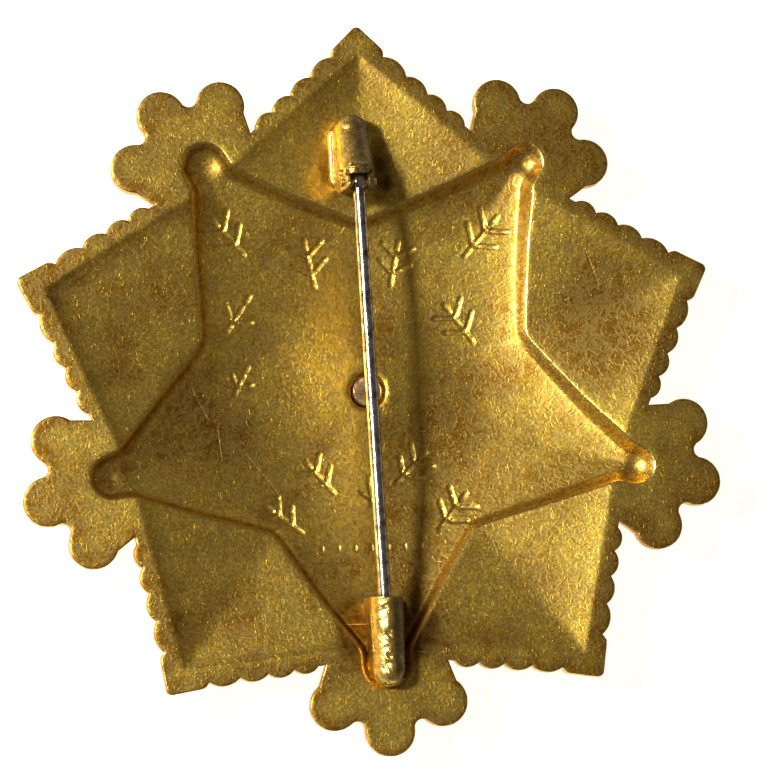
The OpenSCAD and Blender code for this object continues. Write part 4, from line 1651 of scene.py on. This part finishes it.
@dataclass
class PinWire:
    """The steel pin: a wire that tapers to its point, and the eye that turns on the cross pin.

    `stations` are the shares of the point's length at which its taper is divided, and `tip` gives the
    distance from the end and the radius of the last rings.
    """

    sizes: BadgeSizes
    wire_r: float = 0.42
    root_r: float = 0.46
    point_r: float = 0.12
    root_len: float = 4.5
    straight_len: float = 23.6
    point_len: float = 5.0
    start: tuple[float, float, float] = (0.36, 0.5, 0.9)
    straight_count: int = 60
    stations: tuple[float, ...] = (0.2, 0.4, 0.6, 0.8, 0.92)
    tip: tuple[tuple[float, float], ...] = ((0.1, 0.11), (0.03, 0.085), (0.0, 0.03))
    sides: int = 40
    eye_r: float = 0.58
    eye_bore: float = 0.32
    eye_w: float = 0.68

    def wire(self, tree: Tree, material: Material) -> Piece:
        """Grows the wire along its line."""
        s = self.sizes
        total = self.root_len + self.straight_len + self.point_len
        along = np.concatenate([
            self.start[:2], np.linspace(self.start[2], total - self.point_len, self.straight_count),
            total - self.point_len * (1 - np.array(self.stations)), [total - back for back, _ in self.tip]])
        root = self.root_r + (self.wire_r - self.root_r) * unit(along / self.root_len)
        left = unit((total - along) / self.point_len)
        radius = np.minimum(root, self.point_r + (self.wire_r - self.point_r) * left)
        radius[-len(self.tip):] = [r for _, r in self.tip]
        y, z = s.axle_y - along * math.cos(s.pin_slope), s.axle_z - along * math.sin(s.pin_slope)
        points = s.on_pin_line(np.column_stack([np.zeros(len(along)), y, z]))
        edges = [(i, i + 1) for i in range(len(along) - 1)]
        seed = seed_object("pin_wire", points, edges, {"radius": radius * MM})
        return GrownPiece("pin_wire", tree, {"Sides": self.sides, "Material": material}).build(seed)

    def eye(self) -> Piece:
        """Builds the eye, a short tube about the cross pin."""
        half = self.eye_w / 2
        profile = [(self.eye_bore, -half, 0.05), (self.eye_r, -half, 0.12), (self.eye_r, half, 0.12),
                   (self.eye_bore, half, 0.05)]
        verts, faces = lathe(rounded(profile, closed=True), 48, closed=True)
        # Painted shade: the eye darkens on the side that lies under the brow.
        tarnish_and_painted_light = 0.5 * unit((verts[:, 0] + 0.1) / 0.35)
        return mesh_object("pin_eye", self.sizes.on_axle(verts), faces, {"stain_and_shade": tarnish_and_painted_light})


@dataclass
class TurnedParts:
    """The boss on the front, the rivet that holds it and the cross pin of the hinge."""

    sizes: BadgeSizes
    boss_r: float = 7.18
    boss_face_r: float = 5.9
    boss_step_z: float = 0.45
    boss_back_z: float = 0.98
    boss_back_rise: float = 0.05
    rivet_r: float = 1.0
    rivet_head_r: float = 1.7
    rivet_head_t: float = 0.4
    rivet_head_z: float = 0.05
    rivet_sink: float = 0.12
    axle_r: float = 0.27
    axle_w: float = 2.44

    file_w: tuple[float, float] = (0.4, 1.6)
    file_depth: float = 0.035

    def boss(self) -> Piece:
        """Builds the boss with softly rounded edges."""
        bore, head = self.rivet_r + 0.05, self.rivet_head_r + 0.05
        profile = rounded([
            (bore, self.boss_back_z, 0.03),
            (bore, self.rivet_head_t + self.rivet_head_z + 0.02, 0.02),
            (head, self.rivet_head_z, 0.02),
            (head, 0.0, 0.04),
            (self.boss_face_r, 0.0, 0.5),
            (self.boss_r, self.boss_step_z, 0.2),
            (self.boss_r, self.boss_back_z + self.boss_back_rise, 0.06),
        ], closed=True, steps=6)
        return mesh_object("boss", *lathe(profile, 128, closed=True))

    def rivet(self) -> Piece:
        """Builds the rivet, whose end is filed a little uneven."""
        end_z = self.sizes.rim_back_z - self.sizes.middle_depth - self.rivet_sink
        profile = rounded([
            (0.0, self.rivet_head_z, 0),
            (self.rivet_head_r - 0.05, self.rivet_head_z, 0.06),
            (self.rivet_r, self.rivet_head_t + self.rivet_head_z, 0.04),
            (self.rivet_r, end_z, 0.1),
            (0.0, end_z, 0),
        ], closed=False, steps=4)
        verts, faces = lathe(profile[:-1] + [(r, end_z) for r in (0.7, 0.45, 0.2, 0.0)], 64, closed=False)
        top = verts[:, 2] > end_z - 0.01
        verts[top, 2] -= 0.04 + self.file_depth * Dents(31, 0.8)(verts[top] * [*self.file_w, 1])
        return mesh_object("rivet", verts, faces)

    def axle(self) -> Piece:
        """Builds the cross pin with filed ends."""
        half = self.axle_w / 2
        profile = [(0.0, -half, 0), (self.axle_r, -half, 0.05), (self.axle_r, half, 0.05), (0.0, half, 0)]
        verts, faces = lathe(rounded(profile, closed=False), 32, closed=False)
        return mesh_object("axle", self.sizes.on_axle(verts), faces)


class SharedShading:
    """Builds the shader groups that the finishes share: grain, scratches, clouds of tarnish and edge wear."""

    def __init__(self) -> None:
        """Builds each group once."""
        self.grain = self._grain()
        self.scratches = self._scratches()
        self.clouds = self._clouds()
        self.wear = self._wear()

    @staticmethod
    def _open(name: str, *numbers: str) -> OpenTree:
        """Starts a group that is given a place, a scale and some more numbers, and gives one share."""
        inputs = {"Vector": "Vector"} | {key: "Float" for key in ("Scale", *numbers)}
        return open_tree(name, "ShaderNodeTree", inputs, {"Share": "Float"})

    def _grain(self) -> Tree:
        """Builds the fine unevenness of a struck and worn sheet."""
        kit, given, result = self._open("sheet_grain")
        fine = kit.noise(given["Vector"], given["Scale"], 2.0, 0.6)
        coarse = kit.noise(given["Vector"], kit.times(given["Scale"], 0.38), 2.0)
        both = kit.math("ADD", kit.times(fine, 0.78), kit.times(coarse, 0.22))
        kit.feed(result, kit.ramp(both, 0.3, 0.7))
        return kit.tree

    def _scratches(self) -> Tree:
        """Builds curled hairlines and short scratches in four directions, all from clipped noises."""
        kit, given, result = self._open("crossed_scratches", "Share")
        bend = kit.scaled(kit.noise(given["Vector"], 1.7, 0.0, output="Color"), 0.55)
        curled = kit.node("ShaderNodeVectorMath", {0: given["Vector"], 1: bend}, operation="ADD")
        total = self._hairs(kit, curled, given["Scale"])
        low = kit.math("SUBTRACT", 0.72, kit.times(given["Share"], 0.2))
        high = kit.math("ADD", low, 0.07)
        for turn, thin, size in ((0.35, 0.13, 1.0), (1.2, 0.16, 0.8), (2.05, 0.12, 1.15), (2.75, 0.2, 0.6)):
            spun = kit.node("ShaderNodeVectorRotate", {"Vector": curled, "Angle": turn},
                            rotation_type="Z_AXIS")
            drawn = kit.node("ShaderNodeVectorMath", {0: spun, 1: (1.0, thin, 1.0)}, operation="MULTIPLY")
            lines = kit.noise(drawn, kit.times(given["Scale"], size), 1.0)
            total = kit.math("MAXIMUM", total, kit.ramp(lines, low, high))
        kit.feed(result, total)
        return kit.tree

    @staticmethod
    def _hairs(kit: NodeKit, vector: Given, scale: Given) -> Socket:
        """Adds curled hairlines, each the line along which a noise crosses its middle, in short runs."""
        made = []
        for size, low in ((0.13, 0.38), (0.21, 0.42)):
            level = kit.noise(vector, kit.times(scale, size), 1.0)
            away = kit.math("ABSOLUTE", kit.math("SUBTRACT", level, 0.5))
            runs = kit.noise(vector, kit.times(scale, size * 0.7), 0.0)
            made.append(kit.times(kit.ramp(away, 0.02, 0.11, 1.0, 0.0), kit.ramp(runs, low, low + 0.08)))
        return kit.math("MAXIMUM", *made)

    def _clouds(self) -> Tree:
        """Builds soft patches of tarnish."""
        kit, given, result = self._open("tarnish_clouds", "Low", "High")
        patches = kit.noise(given["Vector"], given["Scale"], 6.0, 0.62)
        kit.feed(result, kit.ramp(patches, given["Low"], given["High"]))
        return kit.tree

    def _wear(self) -> Tree:
        """Builds the uneven polish along an edge, from the share that the mesh carries."""
        kit, given, result = self._open("edge_wear", "Edge")
        uneven = kit.noise(given["Vector"], given["Scale"], 3.0, 0.6)
        kit.feed(result, kit.times(given["Edge"], kit.ramp(uneven, 0.3, 0.65)))
        return kit.tree


@dataclass(frozen=True)
class MetalFinish:
    """A worn metal: its clean and tarnished colours, a dark colour for tarnish and painted shade, a colour
    for polish and painted highlight, a colour for a painted reflected glow, its grain, its scratches and how
    it shines.
    """

    name: str
    clean: Colour
    tarnished: Colour
    stain_and_shade: Colour = (0.12, 0.09, 0.045)
    polish_and_highlight_colour: Colour = (0.95, 0.71, 0.2)
    reflected_glow_colour: Colour = (0.95, 0.56, 0.05)
    roughness: float = 0.42
    stain_and_shade_roughness: float = 0.5
    polish_and_highlight_roughness: float = 0.3
    cloud_scale: float = 0.22
    cloud_low: float = 0.38
    cloud_high: float = 0.68
    grain_scale: float = 6.0
    grain_tone: float = 0.17
    grain_height: float = 0.0024
    scratch_scale: float = 9.0
    scratch_share: float = 0.3
    scratch_tone: float = 0.42
    scratch_height: float = 0.0062
    recess_share: float = 0.0
    wall_darkening_share: float = 0.8
    painted_reflection_share: float = 0.8
    groove_share: float = 0.4
    wear_share: float = 0.7
    wear_scale: float = 1.6
    patch_scale: float = 1.1
    grain_roughness: float = 0.08

    def material(self, shared: SharedShading) -> Material:
        """Builds the material.

        Args:
            shared: the shader groups that all finishes use.

        Returns:
            The material, in object coordinates of millimetres.
        """
        material = bpy.data.materials.new(self.name)
        material.use_nodes = True
        kit = NodeKit(material.node_tree)
        place = kit.scaled(kit.node("ShaderNodeTexCoord", {}, "Object"), 1 / MM)

        def effect(tree: Tree, scale: float, **given: Given) -> Socket:
            values = {key.capitalize(): value for key, value in given.items()}
            return kit.node("ShaderNodeGroup", {"Vector": place, "Scale": scale} | values, node_tree=tree)

        clouds = effect(shared.clouds, self.cloud_scale, low=self.cloud_low, high=self.cloud_high)
        grain = effect(shared.grain, self.grain_scale)
        lines = effect(shared.scratches, self.scratch_scale, share=self.scratch_share)
        wear = effect(shared.wear, self.wear_scale, edge=kit.attribute("edge"))
        patches = effect(shared.clouds, self.patch_scale, low=0.3, high=0.62)

        # Mixes towards the tarnish colour: tarnish clouds, the darker walls, the sunk floor, and the spots of
        # painted light and shade, which lighten where they are negative.
        tarnish_and_painted_light = kit.math("MAXIMUM", clouds, kit.times(kit.attribute("wall_darkening"), self.wall_darkening_share))
        tarnish_and_painted_light = kit.math("ADD", tarnish_and_painted_light, kit.times(kit.attribute("recess"), self.recess_share))
        tarnish_and_painted_light = kit.math("ADD", tarnish_and_painted_light, kit.attribute("dulling_and_painted_light"))
        tarnish_and_painted_light = kit.math("MINIMUM", kit.math("MAXIMUM", tarnish_and_painted_light, 0.0), 1.0)
        # The dark colour goes where the mesh asks for it: the solder's burn mark and the fittings' tarnish,
        # but also painted shadow and painted shade on sides away from the light.
        stain_and_shade_amount = kit.times(kit.attribute("stain_and_shade"), kit.ramp(patches, 0.0, 1.0, 0.78, 1.0))
        scratched = kit.times(kit.times(lines, kit.ramp(stain_and_shade_amount, 0.15, 0.75, 1.0, 0.15)), self.scratch_tone)
        # Polish from wear, grooves and scratches, with painted highlights along the walls' feet, the hinge
        # box's rims and the catch's crest.
        polish_and_highlight_share = kit.math("MAXIMUM", kit.times(wear, self.wear_share), kit.attribute("polish_and_highlight"))
        polish_and_highlight_share = kit.math("MAXIMUM", polish_and_highlight_share, kit.times(kit.attribute("groove"), self.groove_share))
        polish_and_highlight_share = kit.math("MAXIMUM", polish_and_highlight_share, scratched)

        colour = kit.mix(tarnish_and_painted_light, self.clean, self.tarnished)
        # Painted reflection: mixes in the orange glow colour where the mesh asks for it.
        colour = kit.mix(kit.times(kit.attribute("painted_reflection"), self.painted_reflection_share), colour, self.reflected_glow_colour)
        colour = kit.mix(polish_and_highlight_share, kit.mix(stain_and_shade_amount, colour, self.stain_and_shade), self.polish_and_highlight_colour)
        rough = kit.math("ADD", self.roughness, kit.times(grain, self.grain_roughness))
        rough = kit.ramp(stain_and_shade_amount, 0.0, 1.0, rough, self.stain_and_shade_roughness)
        rise, dip = kit.times(grain, self.grain_height), kit.times(lines, self.scratch_height)
        height = kit.math("SUBTRACT", rise, dip)
        tone = kit.ramp(grain, 0.0, 1.0, 1 - self.grain_tone, 1 + self.grain_tone)
        shader = material.node_tree.nodes["Principled BSDF"]
        for key, value in {
            "Base Color": kit.scaled(colour, tone),
            "Metallic": 1.0,
            "Roughness": kit.ramp(polish_and_highlight_share, 0.0, 1.0, rough, self.polish_and_highlight_roughness),
            "Normal": kit.node("ShaderNodeBump", {"Strength": 1.0, "Distance": MM, "Height": height}),
        }.items():
            kit.feed(shader.inputs[key], value)
        return material


@dataclass
class Studio:
    """The floor, the light and the camera.

    The camera stands over the badge's lower left. Its turn, tilts, distance and scale bring the badge's
    outline and the star's points to their places in the photograph.
    """

    target_px: tuple[float, float] = (373.9, 385.2)
    frame_px: tuple[int, int] = (768, 774)
    roll: float = math.radians(2.83)
    tilt_x: float = math.radians(9.2)
    tilt_y: float = math.radians(8.3)
    distance: float = 193.2
    px_per_mm: float = 14.66
    rim_z: float = 4.65
    sensor: float = 36.0
    floor_side: float = 600.0
    floor_z: float = -0.02
    floor_tone: float = 0.9
    floor_glow: float = 0.88
    key_place: Place = (-205, 43, 238)
    key_size: float = 44
    key_power: float = 1.16
    key_colour: Colour = (1.0, 0.96, 0.88)
    sky_colour: Colour = (1.0, 0.86, 0.7)
    sky_power: float = 0.1

    def floor(self) -> None:
        """Lays a plain pale floor under the badge."""
        side = self.floor_side
        corners = [(-side, -side), (side, -side), (side, side), (-side, side)]
        made = mesh_object("floor", np.array([(x, y, self.floor_z) for x, y in corners]), [[0, 1, 2, 3]])
        material = bpy.data.materials.new("floor")
        material.use_nodes = True
        shader = material.node_tree.nodes["Principled BSDF"]
        for key, value in {"Base Color": (*[self.floor_tone] * 3, 1), "Roughness": 0.9,
                           "Emission Color": (1, 1, 1, 1), "Emission Strength": self.floor_glow}.items():
            shader.inputs[key].default_value = value
        made.data.materials.append(material)

    def lights(self) -> None:
        """Adds one soft key light from the left, facing the badge's middle, and a weak even surrounding."""
        world = bpy.data.worlds.new("surrounding")
        bpy.context.scene.world = world
        world.use_nodes = True
        ground = world.node_tree.nodes["Background"]
        ground.inputs["Color"].default_value = (*self.sky_colour, 1)
        ground.inputs["Strength"].default_value = self.sky_power
        data = bpy.data.lights.new("key", "AREA")
        data.size = self.key_size * MM
        data.energy = self.key_power
        data.color = self.key_colour
        spot = Vector(self.key_place) * MM
        turn = (-spot).to_track_quat("-Z", "Y").to_matrix().to_4x4()
        linked("key", data).matrix_world = Matrix.Translation(spot) @ turn

    def camera(self) -> None:
        """Places the camera as the photograph was taken."""
        c, s = math.cos(self.roll), math.sin(self.roll)
        cx, sx = math.cos(self.tilt_x), math.sin(self.tilt_x)
        cy, sy = math.cos(self.tilt_y), math.sin(self.tilt_y)
        right = Vector((c * cx, -s * cx, sx))
        up = Vector((s * cy - c * sx * sy, c * cy + s * sx * sy, cx * sy))
        back = right.cross(up)
        wide, high = self.frame_px
        data = bpy.data.cameras.new("camera")
        data.sensor_fit = "HORIZONTAL"
        data.sensor_width = self.sensor
        data.lens = self.sensor * self.px_per_mm * self.distance / wide
        data.shift_x = (wide / 2 - self.target_px[0]) / wide
        data.shift_y = (self.target_px[1] - high / 2) / wide
        data.clip_start = 0.01
        data.clip_end = 10
        place = (Vector((0, 0, self.rim_z)) + back * self.distance) * MM
        eye = linked("camera", data)
        eye.matrix_world = Matrix.Translation(place) @ Matrix((right, up, back)).transposed().to_4x4()
        bpy.context.scene.camera = eye


def finishes() -> dict[str, Material]:
    """Builds the material of every finish, by its name."""
    shared = SharedShading()
    metals = [
        MetalFinish("plate_brass", (0.79, 0.53, 0.075), (0.435, 0.222, 0.028), (0.11, 0.045, 0.007),
                    recess_share=0.12),
        MetalFinish("fitting_brass", (0.73, 0.49, 0.125), (0.5, 0.27, 0.04), (0.2, 0.14, 0.06),
                    roughness=0.36, grain_scale=3.2, grain_height=0.02, scratch_tone=0.25),
        MetalFinish("boss_brass", (0.78, 0.55, 0.14), (0.5, 0.3, 0.06), roughness=0.34, grain_height=0.006),
        MetalFinish("rivet_copper", (0.8, 0.54, 0.3), (0.48, 0.3, 0.15), roughness=0.4),
        MetalFinish("axle_brass", (0.6, 0.4, 0.11), (0.4, 0.22, 0.06), roughness=0.4),
        MetalFinish("pin_steel", (0.57, 0.54, 0.5), (0.18, 0.12, 0.075), polish_and_highlight_colour=(0.85, 0.84, 0.85),
                    roughness=0.2, polish_and_highlight_roughness=0.15, grain_tone=0.1, grain_height=0.003,
                    scratch_height=0.003, scratch_tone=0.2, cloud_scale=1.5, cloud_low=0.44, cloud_high=0.62),
    ]
    return {metal.name: metal.material(shared) for metal in metals}


def hand_over(piece: Piece, body: str, node: str,
              material: Material | None = None) -> None:
    """Gives a piece its material and ties it to the frame.

    Args:
        piece: the piece's object.
        body: the body that it moves with.
        node: the CAD node that it replaces.
        material: its material, unless it already has it.
    """
    if material is not None:
        piece.data.materials.append(material)
    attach(piece, body)
    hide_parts(node)


def main() -> None:
    """Builds and dresses every piece in order."""
    logging.basicConfig(level=logging.INFO, format="%(name)s: %(message)s")
    sizes = BadgeSizes()
    metal = finishes()
    brass, fittings = metal["plate_brass"], metal["fitting_brass"]
    hand_over(StarPlate(sizes).build(), "badge", "star_plate", brass)
    ornament = FrontOrnament(sizes, BackRelief(sizes), placing_tree(), brass)
    hand_over(ornament.rays(), "badge", "star_plate")
    hand_over(ornament.lobes(), "badge", "star_plate")
    hand_over(HingeBox(sizes).build(), "badge", "star_plate", fittings)
    hand_over(CatchHook(sizes).build(), "badge", "star_plate", fittings)
    parts = TurnedParts(sizes)
    hand_over(parts.boss(), "badge", "centre_boss", metal["boss_brass"])
    hand_over(parts.rivet(), "badge", "centre_rivet", metal["rivet_copper"])
    hand_over(parts.axle(), "badge", "hinge_axle", metal["axle_brass"])
    pin = PinWire(sizes)
    hand_over(pin.wire(sweeping_tree(), metal["pin_steel"]), "needle", "pin")
    hand_over(pin.eye(), "needle", "pin", metal["pin_steel"])
    bpy.context.scene.view_settings.view_transform = "Standard"
    studio = Studio()
    studio.floor()
    studio.lights()
    studio.camera()


if __name__ == "__main__":
    main()
    bpy.context.view_layer.update()
